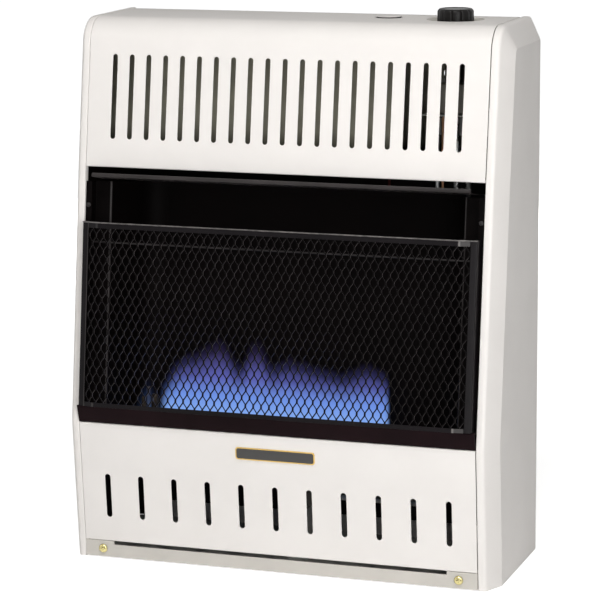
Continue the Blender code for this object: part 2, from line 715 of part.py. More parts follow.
def clipped(outline, half_x, half_z):
    """The part of a convex outline inside a rectangle about the origin, or nothing where it is a sliver."""
    for axis, limit in ((0, half_x), (0, -half_x), (1, half_z), (1, -half_z)):
        sign = 1 if limit > 0 else -1
        kept = []
        for here, there in zip(outline, outline[1:] + outline[:1]):
            a, b = sign * here[axis] - abs(limit), sign * there[axis] - abs(limit)
            if a <= 0:
                kept.append(here)
            if (a < 0 < b) or (b < 0 < a):
                share = a / (a - b)
                kept.append(tuple(p + (q - p) * share for p, q in zip(here, there)))
        outline = kept
        if len(outline) < 3:
            return None
    area = sum(a[0] * b[1] - b[0] * a[1] for a, b in zip(outline, outline[1:] + outline[:1])) / 2
    return outline if abs(area) > NET_STRAND**2 else None


guard_mesh()

rod_half = PANEL_HALF - LINER_STRIP - GAP
rod_place = (0, ROD_RECESS, GUARD_TOP - ROD_DROP)
drum("firebox_rod", 2 * ROD_RADIUS, 2 * rod_half, rod_place, BLACK_STEEL, "X", 10, lean)


# Burner
def burner_tube():
    """Round burner, closed at its left end by a plug, with a row of slots across its top."""
    left, right = BURNER_X
    radius = BURNER_DIAMETER / 2
    bore = radius - BURNER_WALL
    length = right - left
    profile = [(radius, length / 2), (radius, -length / 2), (bore, -length / 2), (bore, length / 2)]
    centre = ((left + right) / 2, BURNER_Y, BURNER_Z)
    made = turned("burner_tube", profile, centre, BURNER_STEEL, "X", 24)
    width, across = PORT
    bm = bmesh.new()
    pitch = (length - 2 * radius) / PORTS
    for number in range(PORTS):
        x = (number - (PORTS - 1) / 2) * pitch
        made_cube = bmesh.ops.create_cube(bm, size=1)["verts"]
        bmesh.ops.scale(bm, vec=(width, across, radius), verts=made_cube)
        bmesh.ops.translate(bm, vec=(x, 0, 0), verts=made_cube)
    ports = finish("burner_ports", mesh_from("burner_ports", bm), None, wall, cutters)
    ports.location = (centre[0], BURNER_Y, BURNER_Z + radius)
    cut(made, ports)
    return smooth(made)


burner_tube()
bore_diameter = BURNER_DIAMETER - 2 * BURNER_WALL
plug_profile = [(BURNER_DIAMETER / 2, 0.0010), (BURNER_DIAMETER / 2, 0), (bore_diameter / 2 - GAP, 0)]
plug_profile += [(bore_diameter / 2 - GAP, -0.0060), (0, -0.0060), (0, 0.0010)]
plug = turned("burner_end_plug", plug_profile, (BURNER_X[0] - GAP, BURNER_Y, BURNER_Z), BURNER_STEEL, "X", 24)
plug.rotation_euler = (0, -pi / 2, 0)


def venturi():
    """Mixer: a throat between the bell that takes air in and the collar that fits the burner."""
    wall_at = BURNER_WALL
    collar = bore_diameter / 2 - GAP
    throat = VENTURI_THROAT / 2
    bell = VENTURI_BELL / 2
    length = VENTURI_LENGTH
    outer = [(bell, length), (throat + wall_at, length * 0.62), (throat + wall_at, length * 0.42)]
    outer += [(collar, length * 0.12), (collar, -0.0100)]
    inner = [(radius - wall_at, height) for radius, height in reversed(outer)]
    place = (BURNER_X[1] + GAP, BURNER_Y, BURNER_Z)
    return smooth(turned("venturi", outer + inner, place, BURNER_STEEL, "X", 24))


venturi()


def burner_saddle(name, x):
    """Plate hanging from the firebox floor with the hole that the burner rests in."""
    thick, wide, tall = SADDLE
    top = SHELF_Z - SHEET - GAP
    low = BURNER_Z - BURNER_DIAMETER / 2 - 4 * SHEET
    made = block(name, (thick, wide, top - low), (x, BURNER_Y, (top + low) / 2), BURNER_STEEL)
    hole = BURNER_DIAMETER + 2 * GAP
    place = (x, BURNER_Y, BURNER_Z)
    return cut(made, drum(f"{name}_hole", hole, tall, place, None, "X", 24, collection=cutters))


burner_saddle("burner_saddle_left", BURNER_X[0] + 0.018)
burner_saddle("burner_saddle_right", BURNER_X[1] - 0.018)

ORIFICE_X = BURNER_X[1] + VENTURI_LENGTH + ORIFICE_GAP


def orifice_holder():
    """Brass elbow that aims the main jet into the bell, fed from behind."""
    nozzle = [(0.0012, 0.0090), (0.0035, 0.0060), (0.0035, 0), (0.0060, 0), (0.0060, -0.0140), (0, -0.0140)]
    nozzle += [(0, 0.0090)]
    made = turned("orifice_holder", nozzle, (ORIFICE_X + 0.0060, BURNER_Y, BURNER_Z), BRASS, "X", 12)
    made.rotation_euler = (0, -pi / 2, 0)
    place = (ORIFICE_X + ELBOW[0], BURNER_Y + ELBOW[1] / 2, BURNER_Z)
    return cut(made, drum("orifice_elbow", 0.0100, ELBOW[1], place, None, "Y", 12, collection=cutters), "UNION")


orifice_holder()

bracket_top = SHELF_Z - SHEET - GAP
bracket_low = BURNER_Z - 0.0060 - GAP
orifice_bracket = folded(
    "orifice_bracket",
    [(BURNER_Y - 0.012, bracket_top), (BURNER_Y - 0.012, bracket_low), (BURNER_Y + 0.012, bracket_low)],
    None,
    ZINC,
    side=-1,
    ends=(ORIFICE_X + 0.0070, ORIFICE_X + 0.0190),
)

# Pilot
PLATE_TOP = SHELF_Z + GAP + PILOT_PLATE[2]
PILOT_AT = (PILOT_X + PILOT_SPREAD[0], PILOT_Y)
COUPLE_AT = (PILOT_X - PILOT_SPREAD[0], PILOT_Y + PILOT_SPREAD[1])
SPARK_AT = (PILOT_X - PILOT_SPREAD[0], PILOT_Y - PILOT_SPREAD[1])


def stud(name, at, radius, rise, drop, head, coat, bore):
    """Round piece that hangs in a hole of the pilot plate by its head, with a blind bore below for its tube."""
    top = (0, rise)
    profile = [top, (radius * 0.7, rise), (radius, rise - radius * 0.6), (radius, head), (radius * 1.4, head)]
    profile += [(radius * 1.4, 0), (radius, 0), (radius, -drop), (bore, -drop), (bore, -drop / 2), (0, -drop / 2)]
    return turned(name, profile, (*at, PLATE_TOP + GAP), coat, steps=12)


pilot_plate = block(
    "pilot_bracket",
    PILOT_PLATE,
    (PILOT_X, PILOT_Y, SHELF_Z + GAP + PILOT_PLATE[2] / 2),
    ZINC,
)
for label, at, radius in (("pilot", PILOT_AT, 0.0042), ("couple", COUPLE_AT, 0.0026), ("spark", SPARK_AT, 0.0028)):
    hole = drum(f"{label}_hole", 2 * (radius + GAP), 0.01, (*at, PLATE_TOP), None, sides=12, collection=cutters)
    cut(pilot_plate, hole)
stud("pilot_burner", PILOT_AT, 0.0042, 0.0200, 0.0120, 0.0030, BRASS, THIN_TUBE_RADIUS + GAP)
stud("thermocouple", COUPLE_AT, 0.0026, 0.0260, 0.0120, 0.0020, COPPER, LEAD_RADIUS + GAP)
stud("spark_electrode", SPARK_AT, 0.0028, 0.0180, 0.0120, 0.0020, CERAMIC, LEAD_RADIUS + GAP)

# Controls
VALVE_TOP = VALVE_Z + VALVE_SIZE[2] / 2
VALVE_LOW = VALVE_Z - VALVE_SIZE[2] / 2
DISH_FLOOR = HEIGHT - DISH_DEPTH
STEM_TIP = KNOB_TOP - KNOB_HEIGHT / 3
STEM_FOOT = VALVE_Z
WASHER_TOP = DISH_FLOOR - WASHER_DROP
SUPPLY_AT = (KNOB_AT[0], KNOB_AT[1] + 0.0060)
OUTLET_AT = (KNOB_AT[0] + VALVE_SIZE[0] * 0.30, KNOB_AT[1] + 0.0040)
PILOT_OUT_AT = (KNOB_AT[0] - VALVE_SIZE[0] * 0.38 - 0.0010, KNOB_AT[1] - 0.0030)
COUPLE_OUT_AT = (KNOB_AT[0] - VALVE_SIZE[0] * 0.38, KNOB_AT[1] + 0.0140)


def nut(name, at, z, tube_radius, height=0.0100):
    """Hexagonal compression nut below a casting."""
    return drum(name, 4 * tube_radius + 0.0040, height, (*at, z), None, sides=6, collection=cutters)


def gas_valve():
    """Cast body with a round neck up to the dish and four nuts below for its tubes."""
    made = block("gas_valve", VALVE_SIZE, (*KNOB_AT, VALVE_Z), CASTING, rounding=0.0025)
    collar, rise = COLLAR
    neck = [(collar / 2, DISH_FLOOR + rise), (collar / 2, DISH_FLOOR - SHEET - GAP)]
    neck += [(BOSS_DIAMETER / 2, DISH_FLOOR - SHEET - GAP), (BOSS_DIAMETER / 2, VALVE_TOP - 0.0050)]
    neck += [(0, VALVE_TOP - 0.0050), (0, DISH_FLOOR + rise)]
    cut(made, turned("valve_neck", neck, (*KNOB_AT, 0), None, steps=24, collection=cutters), "UNION")
    ports = (
        ("supply_nut", SUPPLY_AT, TUBE_RADIUS),
        ("outlet_nut", OUTLET_AT, TUBE_RADIUS),
        ("pilot_nut", PILOT_OUT_AT, THIN_TUBE_RADIUS),
        ("couple_nut", COUPLE_OUT_AT, LEAD_RADIUS),
    )
    for name, at, radius in ports:
        cut(made, nut(name, at, VALVE_LOW, radius), "UNION")
    for name, at, radius in ports:
        place = (*at, VALVE_LOW)
        cut(made, drum(f"{name}_bore", 2 * (radius + GAP), 0.012, place, None, sides=12, collection=cutters))
    bore = STEM_DIAMETER + 2 * GAP
    depth = HEIGHT - STEM_FOOT + KNOB_TRAVEL + 2 * GAP
    place = (*KNOB_AT, HEIGHT - depth / 2)
    cut(made, drum("stem_bore", bore, depth, place, None, sides=24, collection=cutters))
    depth = WASHER[1] + KNOB_TRAVEL + 2 * GAP
    place = (*KNOB_AT, WASHER_TOP + GAP - depth / 2)
    return cut(made, drum("washer_chamber", WASHER[0] + 2 * GAP, depth, place, None, collection=cutters))


gas_valve()


def valve_bracket():
    """Angle on the back panel that the valve stands on, with a hole for each nut."""
    low = VALVE_LOW - GAP
    rear = REAR_Y - SHEET - GAP
    front = KNOB_AT[1] - VALVE_SIZE[1] / 2
    path = [(front, low), (rear, low), (rear, low - BRACKET_DROP)]
    half = VALVE_SIZE[0] / 2 + BRACKET_DROP / 4
    made = folded("valve_bracket", path, None, ZINC, ends=(KNOB_AT[0] - half, KNOB_AT[0] + half))
    for name, at, radius in (
        ("supply_pass", SUPPLY_AT, TUBE_RADIUS),
        ("outlet_pass", OUTLET_AT, TUBE_RADIUS),
        ("pilot_pass", PILOT_OUT_AT, THIN_TUBE_RADIUS),
        ("couple_pass", COUPLE_OUT_AT, LEAD_RADIUS),
    ):
        hole = 4 * radius + 0.0040 + 4 * GAP
        cut(made, drum(name, hole, 0.01, (*at, low), None, sides=16, collection=cutters))
    return made


valve_bracket()

stem_length = STEM_TIP - STEM_FOOT
washer_bore = STEM_DIAMETER / 2 + GAP
washer = [(WASHER[0] / 2, 0), (WASHER[0] / 2, -WASHER[1]), (washer_bore, -WASHER[1]), (washer_bore, 0)]
turned("stem_return_washer", washer, (*KNOB_AT, WASHER_TOP), ZINC)
smooth(drum("valve_stem", STEM_DIAMETER, stem_length, (*KNOB_AT, STEM_TIP - stem_length / 2), BRASS, sides=24))


def control_knob():
    """Cap with broad lobes between narrow grooves, a little wider at its foot, with a bore below for the stem."""
    low = KNOB_TOP - KNOB_HEIGHT
    radius = KNOB_DIAMETER / 2
    half_groove, groove_depth = GROOVE
    lobe = 2 * pi / KNOB_LOBES
    steps = [(0, groove_depth), (half_groove, 0), (lobe / 3, 0), (2 * lobe / 3, 0), (lobe - half_groove, 0)]
    shoulder = KNOB_HEIGHT / 6
    outline = [(radius, low), (radius - KNOB_DRAFT, KNOB_TOP - shoulder)]
    outline += [(radius - shoulder / 2, KNOB_TOP - shoulder / 4), (radius - shoulder, KNOB_TOP)]
    bm = bmesh.new()
    rings = []
    for reach, z in outline:
        ring = []
        for number in range(KNOB_LOBES):
            for turn, dip in steps:
                angle = KNOB_PHASE + number * lobe + turn
                ring.append(bm.verts.new(((reach - dip) * cos(angle), (reach - dip) * sin(angle), z - KNOB_TOP)))
        rings.append(ring)
    for lower, upper in zip(rings, rings[1:]):
        for number in range(len(lower)):
            after = (number + 1) % len(lower)
            bm.faces.new((lower[number], lower[after], upper[after], upper[number]))
    bm.faces.new(rings[-1])
    bm.faces.new(list(reversed(rings[0])))
    made = finish("control_knob", mesh_from("control_knob", bm), BLACK_PLASTIC)
    made.location = (*KNOB_AT, KNOB_TOP)
    top = STEM_TIP + GAP
    bore = STEM_DIAMETER + 2 * GAP
    depth = top - low + GAP
    return cut(made, drum("knob_bore", bore, depth, (*KNOB_AT, top - depth / 2), None, collection=cutters))


control_knob()

BUTTON_TOP = HEIGHT + BUTTON_PROUD
BUTTON_LOW = HEIGHT - SHEET - GAP - BUTTON_SKIRT


def igniter_button():
    """Flat round button over a plunger."""
    radius = BUTTON_DIAMETER / 2
    edge = 0.0008
    profile = [(0, BUTTON_TOP), (radius - edge, BUTTON_TOP), (radius, BUTTON_TOP - edge), (radius, BUTTON_LOW)]
    profile += [(PLUNGER / 2, BUTTON_LOW), (PLUNGER / 2, BUTTON_LOW - 3 * BUTTON_TRAVEL)]
    profile += [(0, BUTTON_LOW - 3 * BUTTON_TRAVEL)]
    return smooth(turned("igniter_button", profile, (*BUTTON_AT, 0), CREAM, steps=32))


igniter_button()


def igniter_body():
    """Cup under the deck for the button, with the striker barrel below it."""
    radius = BUTTON_DIAMETER / 2
    bore = radius + GAP
    top = HEIGHT - SHEET - GAP
    floor = BUTTON_LOW - BUTTON_TRAVEL - GAP
    hole = PLUNGER / 2 + GAP
    low = floor - BARREL_LENGTH
    lead_bore = LEAD_RADIUS + GAP
    profile = [(bore, top), (bore + 0.0040, top), (bore + 0.0040, floor - SHEET), (BARREL / 2, floor - SHEET)]
    profile += [(BARREL / 2, low), (lead_bore, low), (lead_bore, low + 0.0050), (0, low + 0.0050)]
    deep = BUTTON_LOW - 4 * BUTTON_TRAVEL - 2 * GAP
    profile += [(0, deep), (hole, deep), (hole, floor), (bore, floor)]
    return smooth(turned("igniter_body", profile, (*BUTTON_AT, 0), BLACK_PLASTIC, steps=32))


igniter_body()
BARREL_LOW = BUTTON_LOW - BUTTON_TRAVEL - GAP - BARREL_LENGTH


# Gas train
def regulator():
    """Round pressure regulator lying on its bracket, its outlet to the right and its inlet to the rear."""
    x, y, z = REGULATOR_AT
    radius = REGULATOR_SIZE[0] / 2
    tall = REGULATOR_SIZE[1]
    profile = [(0, tall), (radius * 0.45, tall), (radius * 0.5, tall * 0.62), (radius * 0.92, tall * 0.52)]
    profile += [(radius, tall * 0.46), (radius, tall * 0.36), (radius * 0.7, tall * 0.28), (radius * 0.7, 0), (0, 0)]
    made = turned("regulator", profile, (x, y, z - PORT_RISE), CASTING, steps=24)
    reach = radius + 0.0040
    ports = (("outlet", (x + reach / 2, y, z), "X"), ("inlet", (x, y + reach / 2, z), "Y"))
    for name, place, axis in ports:
        cut(made, drum(f"regulator_{name}", 0.0150, reach, place, None, axis, 6, collection=cutters), "UNION")
    bore = 2 * (TUBE_RADIUS + GAP)
    cut(made, drum("outlet_bore", bore, 0.012, (x + reach, y, z), None, "X", 12, collection=cutters))
    bore = INLET_DIAMETER + 2 * GAP
    return cut(made, drum("inlet_bore", bore, 0.012, (x, y + reach, z), None, "Y", 12, collection=cutters))


regulator()
REGULATOR_REACH = REGULATOR_SIZE[0] / 2 + 0.0040


def regulator_bracket():
    """Channel on the base pan that the regulator stands on."""
    x, y, z = REGULATOR_AT
    top = z - PORT_RISE - GAP
    low = PAN_Z + SHEET + GAP
    half = REGULATOR_SIZE[0] / 2
    path = [(y - half - PANEL_FLANGE, low + SHEET), (y - half, low + SHEET), (y - half, top), (y + half, top)]
    path += [(y + half, low + SHEET), (y + half + PANEL_FLANGE, low + SHEET)]
    return folded("regulator_bracket", path, None, ZINC, ends=(x - half / 2, x + half / 2))


regulator_bracket()


def gas_inlet():
    """Brass nipple from the regulator to just short of the wall."""
    x, y, z = REGULATOR_AT
    start = y + REGULATOR_REACH - 0.0055
    end = -INLET_BACK
    radius = INLET_DIAMETER / 2
    length = end - start
    profile = [(radius - 0.0015, 0), (radius - 0.0015, length), (radius, length), (radius, length * 0.55)]
    profile += [(radius * 1.5, length * 0.55), (radius * 1.5, length * 0.40), (radius, length * 0.40), (radius, 0)]
    made = turned("gas_inlet", profile, (x, start, z), BRASS, "Y", 12)
    made.rotation_euler = (-pi / 2, 0, 0)
    return made


gas_inlet()

TUBE_END = 0.0050  # how far a tube reaches into its port
valve_port = VALVE_LOW - 0.0010
x, y, z = REGULATOR_AT
tube(
    "supply_tube",
    routed(
        [
            (x + REGULATOR_REACH - TUBE_END, y, z),
            (SUPPLY_AT[0], y, z),
            (SUPPLY_AT[0], SUPPLY_AT[1], z),
            (*SUPPLY_AT, valve_port),
        ],
        TUBE_BEND,
    ),
    TUBE_RADIUS,
    ALUMINIUM,
)
elbow_x = ORIFICE_X + ELBOW[0]
elbow_y = BURNER_Y + ELBOW[1] + GAP
tube(
    "burner_gas_tube",
    routed(
        [
            (elbow_x, elbow_y, BURNER_Z),
            (elbow_x, OUTLET_AT[1], BURNER_Z),
            (elbow_x, OUTLET_AT[1], VALVE_LOW - OUTLET_JOG[0]),
            (OUTLET_AT[0], OUTLET_AT[1], VALVE_LOW - OUTLET_JOG[1]),
            (*OUTLET_AT, valve_port),
        ],
        TUBE_BEND,
    ),
    TUBE_RADIUS,
    ALUMINIUM,
)


def pilot_route(at, riser, drop, top):
    """A thin line from the pilot group, under the firebox floor to the right and up behind the firebox."""
    low = SHELF_Z - drop
    lane = BURNER_Y + SADDLE[1] / 2 + drop / 5
    return routed(
        [
            (*at, PLATE_TOP - 0.0100),
            (*at, low),
            (at[0], lane, low),
            (riser[0], lane, low),
            (*riser, low),
            (*riser, top),
        ],
        THIN_BEND,
    )


tube("pilot_tube", pilot_route(PILOT_AT, PILOT_OUT_AT, LINE_DROPS[0], valve_port), THIN_TUBE_RADIUS, ALUMINIUM)
tube("thermocouple_lead", pilot_route(COUPLE_AT, COUPLE_OUT_AT, LINE_DROPS[1], valve_port), LEAD_RADIUS, COPPER)
tube("ignition_lead", pilot_route(SPARK_AT, BUTTON_AT, LINE_DROPS[2], BARREL_LOW + 0.0040), LEAD_RADIUS, LEAD_COAT)
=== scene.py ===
# %% [markdown]
# # A ventless gas wall heater
# The engineering model of the heater is already made: every sheet, tube and screw is a solid at its real
# place. This lesson dresses that model. It loads the solids, sets up a camera and light, and then goes
# round the heater piece by piece. A solid whose shape is right gets a finish. A piece that a camera looks
# at closely, such as a folded panel or the expanded-metal guard, is rebuilt with rounder folds and finer
# detail in the same place.

from math import cos, exp, pi, radians, sin, tan

import bmesh
import bpy
from mathutils import Matrix, Vector, noise


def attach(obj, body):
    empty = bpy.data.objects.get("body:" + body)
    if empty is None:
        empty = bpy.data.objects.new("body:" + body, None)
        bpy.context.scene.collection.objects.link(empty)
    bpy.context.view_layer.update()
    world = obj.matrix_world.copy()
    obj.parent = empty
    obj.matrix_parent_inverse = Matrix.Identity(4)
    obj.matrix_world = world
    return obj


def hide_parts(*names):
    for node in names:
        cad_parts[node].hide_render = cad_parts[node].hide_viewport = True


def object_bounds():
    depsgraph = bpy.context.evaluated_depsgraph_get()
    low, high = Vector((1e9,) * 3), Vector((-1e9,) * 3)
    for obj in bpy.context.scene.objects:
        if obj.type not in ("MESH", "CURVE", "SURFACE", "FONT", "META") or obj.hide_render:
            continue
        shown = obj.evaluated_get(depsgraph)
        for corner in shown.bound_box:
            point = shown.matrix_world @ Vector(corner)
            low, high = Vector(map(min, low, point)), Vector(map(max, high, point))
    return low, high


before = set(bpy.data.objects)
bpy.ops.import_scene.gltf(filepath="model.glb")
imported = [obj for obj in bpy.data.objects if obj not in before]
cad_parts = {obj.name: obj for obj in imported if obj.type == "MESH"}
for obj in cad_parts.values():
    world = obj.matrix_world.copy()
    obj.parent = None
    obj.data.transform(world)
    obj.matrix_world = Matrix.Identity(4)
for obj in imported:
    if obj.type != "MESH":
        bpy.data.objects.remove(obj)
cad_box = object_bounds()
WALL = cad_box[1].y
print(len(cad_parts), "solids, wall plane at y =", round(WALL, 4))

# %% [markdown]
# ## The sizes of the cabinet
# The new pieces have to land on the solids, so they start from the same measurements. The front of the
# cabinet is one folded line when seen from the side: it leans back above and below a crease. A small
# function that gives the depth of the front at any height saves writing that line again for each piece.

# %% Cabinet sizes
HEIGHT = 0.5804
SEAM = 0.2198
HALF_WIDTH = 0.2388
BODY_DEPTH = 0.1829
CREASE_Z = 0.1525
PANEL_EDGE_Z = 0.4239
LEAN_LOWER, LEAN_MIDDLE, LEAN_UPPER = radians(4.75), radians(6.96), radians(8.45)
DECK_BEND = 0.0280
SHEET = 0.0010
GAP = 0.0003
PANEL_HALF = SEAM - GAP


def front_y(z):
    """Depth of the cabinet's face at a height, with the wall at zero."""
    if z <= CREASE_Z:
        return -BODY_DEPTH + (CREASE_Z - z) * tan(LEAN_LOWER)
    edge = -BODY_DEPTH + (min(z, PANEL_EDGE_Z) - CREASE_Z) * tan(LEAN_MIDDLE)
    return edge + max(z - PANEL_EDGE_Z, 0) * tan(LEAN_UPPER)


WALL_FRAME = Matrix.Translation((0, WALL, 0))
crease = Matrix.Translation((0, -BODY_DEPTH, CREASE_Z))
LEAN_FRAME = WALL_FRAME @ crease @ Matrix.Rotation(-LEAN_MIDDLE, 4, "X")
for place, z in (("floor", 0), ("crease", CREASE_Z), ("panel edge", PANEL_EDGE_Z)):
    print("front at the", place, round(front_y(z), 4))

# %% [markdown]
# ## The camera
# The camera is placed once and never touched again. Its position, tilt and focal length come from fitting
# the straight edges of the cabinet to the picture that the render should match. Building the camera's
# matrix from its own forward, right and up directions avoids guessing at Euler angles.

# %% Camera
CAMERA_AT = Vector((0.9224, -2.7983 + WALL, 0.8395))
TURN, TILT, ROLL = radians(18.8106), radians(11.0622), radians(-0.4071)
FOCAL_PIXELS = 2726.75
PICTURE_PIXELS, SENSOR_MM = 600, 36

forward = Vector((-sin(TURN) * cos(TILT), cos(TURN) * cos(TILT), -sin(TILT)))
level_right = Vector((cos(TURN), sin(TURN), 0))
level_up = level_right.cross(forward)
right = level_right * cos(ROLL) + level_up * sin(ROLL)
up = level_up * cos(ROLL) - level_right * sin(ROLL)
view = bpy.data.objects.new("photo_camera", bpy.data.cameras.new("photo_camera"))
axes = Matrix((right, up, -forward)).transposed().to_4x4()
view.matrix_world = Matrix.Translation(CAMERA_AT) @ axes
view.data.sensor_width = SENSOR_MM
view.data.lens = FOCAL_PIXELS / PICTURE_PIXELS * SENSOR_MM
view.data.clip_end = 50
bpy.context.scene.collection.objects.link(view)
bpy.context.scene.camera = view
bpy.context.scene.view_settings.view_transform = "Standard"
print("lens", round(view.data.lens, 1), "mm, distance", round(CAMERA_AT.length, 2), "m")

# %% [markdown]
# ## Light and floor
# White enamel shows its shape only if one side is a little darker than the other. A wide soft lamp above
# the front lights the slanted panels and the deck, one at the front right lights the chamfer more than the
# side beside it, and the pale world fills the shadows. A small low lamp draws the highlight on the guard,
# and two weak ones keep the left side and the back readable in other views. The background is white for the
# camera and for reflections only: the Light Path node separates those rays from the light that falls on the
# heater.

# %% Wiring nodes
def fed(tree, node, feeds=None, **values):
    """Links sockets into a node and types values into its others. A space in a name is written as _."""
    for socket, source in (feeds or {}).items():
        tree.links.new(source, node.inputs[socket])
    for socket, value in values.items():
        node.inputs[socket.replace("_", " ")].default_value = value
    return node


def added(tree, kind, feeds=None, **values):
    """A new shader node, fed in the same way."""
    return fed(tree, tree.nodes.new("ShaderNode" + kind), feeds, **values)


def maths(tree, operation, one, two):
    """The result of one operation on two sockets."""
    made = added(tree, "Math", {0: one, 1: two})
    made.operation = operation
    return made.outputs[0]


def graded(tree, source, stops, blend="EASE"):
    """What a ramp of (place, colour) stops makes of a socket."""
    made = added(tree, "ValToRGB", {0: source})
    ramp = made.color_ramp
    ramp.interpolation = blend
    while len(ramp.elements) < len(stops):
        ramp.elements.new(0.5)
    for stop, (place, colour) in zip(ramp.elements, stops):
        stop.position = place
        stop.color = (*colour, 1)
    return made.outputs[0]


def seen_or_mirrored(tree):
    """1 for a ray from the camera, from a mirror or through glass, and 0 for one that gathers light."""
    rays = added(tree, "LightPath").outputs
    mirrored = maths(tree, "MAXIMUM", rays["Is Glossy Ray"], rays["Is Transmission Ray"])
    return maths(tree, "MAXIMUM", rays["Is Camera Ray"], mirrored)


# %% World
world = bpy.data.worlds.new("studio")
bpy.context.scene.world = world
world.use_nodes = True
tree = world.node_tree
tree.nodes.clear()
fill = added(tree, "Background", Color=(1.0, 0.985, 0.97, 1), Strength=0.02)
white = added(tree, "Background", Color=(1, 1, 1, 1), Strength=1.0)
either = added(tree, "MixShader", {0: seen_or_mirrored(tree), 1: fill.outputs[0], 2: white.outputs[0]})
added(tree, "OutputWorld", {0: either.outputs[0]})
print("world fill", fill.inputs["Strength"].default_value)


# %% Lamps
def softbox(name, place, aim, size, power, colour):
    """A rectangular area lamp that points at a spot on the heater."""
    lamp = bpy.data.lights.new(name, "AREA")
    lamp.shape = "RECTANGLE"
    lamp.size, lamp.size_y = size
    lamp.energy = power
    lamp.color = colour
    made = bpy.data.objects.new(name, lamp)
    made.location = place
    made.rotation_euler = (Vector(aim) - Vector(place)).to_track_quat("-Z", "Y").to_euler()
    bpy.context.scene.collection.objects.link(made)


softbox("key_lamp", (0.25, -1.6, 2.4), (0, 0, 0.5), (1.0, 0.8), 39.5, (1, 0.99, 0.975))
softbox("right_lamp", (1.35, -1.75, 0.75), (0, 0, 0.28), (0.7, 1.2), 22.5, (1, 1, 0.995))
softbox("side_lamp", (-2.2, -0.7, 1.0), (0, 0, 0.3), (0.8, 1.2), 4.5, (1, 0.98, 0.96))
softbox("guard_lamp", (0.62, -2.0, 0.28), (0.1, 0, 0.28), (0.12, 0.5), 1.8, (1, 0.99, 0.98))
softbox("rear_lamp", (-0.6, 2.4, 0.3), (0, 0, 0.3), (1.4, 0.35), 14, (1, 0.98, 0.96))
print("lamps:", [lamp.name for lamp in bpy.data.lights])

# %% [markdown]
# ## Finishes
# Each finish is a node material made from the same few steps: a base colour that drifts slightly over the
# surface, a roughness that does the same, and a bump for the grain. Values that are equal everywhere are
# typed into the shader's own sockets, because exported models lose a constant that arrives through a link.


# %% A finish with grain
def finish(
    name, colour, drift, roughness, metallic=0.0, grain=(400.0, 0.05), patch=18.0, coat=0.0, specular=0.5
):
    """Painted, plated or bare metal: colour and roughness that wander over patches, and a fine bump.

    drift is the share that the colour wanders by, roughness its low and high value, and grain the scale and
    strength of the bump.
    """
    made = bpy.data.materials.new(name)
    made.use_nodes = True
    tree = made.node_tree
    place = added(tree, "TexCoord").outputs["Object"]
    wander = added(tree, "TexNoise", {"Vector": place}, Scale=patch, Detail=4).outputs["Fac"]
    low, high = [[c * share for c in colour] for share in (1 - drift, 1 + drift)]
    tint = graded(tree, wander, ((0.35, low), (0.65, high)), "LINEAR")
    dull = added(tree, "MapRange", {"Value": wander}, To_Min=roughness[0], To_Max=roughness[1])
    speckle = added(tree, "TexNoise", {"Vector": place}, Scale=grain[0], Detail=3)
    bump = added(tree, "Bump", {"Height": speckle.outputs["Fac"]}, Strength=grain[1], Distance=0.0004)
    shader = tree.nodes["Principled BSDF"]
    fed(tree, shader, {"Base Color": tint, "Roughness": dull.outputs[0], "Normal": bump.outputs[0]})
    fed(tree, shader, Metallic=metallic, Specular_IOR_Level=specular, Coat_Weight=coat, Coat_Roughness=0.28)
    return made


# %% [markdown]
# The cabinet is powder coated in warm white. Powder melts into a very slightly dimpled skin, called orange
# peel. Inside, the coat is thinner and greyer. The black sheets are all sprayed with heat-resistant paint,
# yet no two look alike: the firebox is matt with heat, the hood's hem keeps its gloss, and the ledge stays a
# little brown. So each gets a black of its own. Lighter blacks on single faces are painted highlights: on the
# guard's bends and wings, its top bead, a fold in the firebox wall, a rod, the small black screws and the
# right faces of the net's strands. The inner faces of the side panels get a near-black painted shade,
# because they are nearly in the dark.

# %% Enamel and firebox paint
ENAMEL = finish(
    "cream_powder_coat", (0.84, 0.81, 0.785), 0.012, (0.34, 0.44), grain=(900.0, 0.12), coat=0.2, specular=0.0
)
INNER_ENAMEL = finish(
    "inner_enamel", (0.58, 0.555, 0.515), 0.03, (0.4, 0.55), grain=(900.0, 0.15), specular=0.2
)
FIRE_BLACK = finish(
    "black_heat_paint", (0.0020, 0.0013, 0.0013), 0.25, (0.5, 0.65), grain=(1400.0, 0.25), specular=0.03
)
GUARD_BLACK = finish(
    "guard_black", (0.0056, 0.0044, 0.0052), 0.2, (0.26, 0.38), grain=(1600.0, 0.12), specular=0.10
)
# The hood's own black, also used as a painted highlight on one fold of the firebox wall.
BLACK_FOR_HOOD_AND_HIGHLIGHT = finish(
    "black_for_hood_and_fold_highlight", (0.0300, 0.0260, 0.0260), 0.25, (0.28, 0.42), grain=(1500.0, 0.15), specular=0.16
)
NET_BLACK = finish(
    "net_black", (0.0024, 0.0018, 0.0019), 0.2, (0.3, 0.45), grain=(2000.0, 0.3), specular=0.06
)
# A near-black painted shade for the side panels' inner faces, which lie nearly in the dark.
SHADED_INSIDE = finish(
    "shaded_inside", (0.014, 0.010, 0.009), 0.3, (0.5, 0.65), grain=(900.0, 0.2), specular=0.03
)
LEDGE_BLACK = finish(
    "ledge_black", (0.0105, 0.0046, 0.0058), 0.2, (0.3, 0.42), grain=(1600.0, 0.12), specular=0.04
)
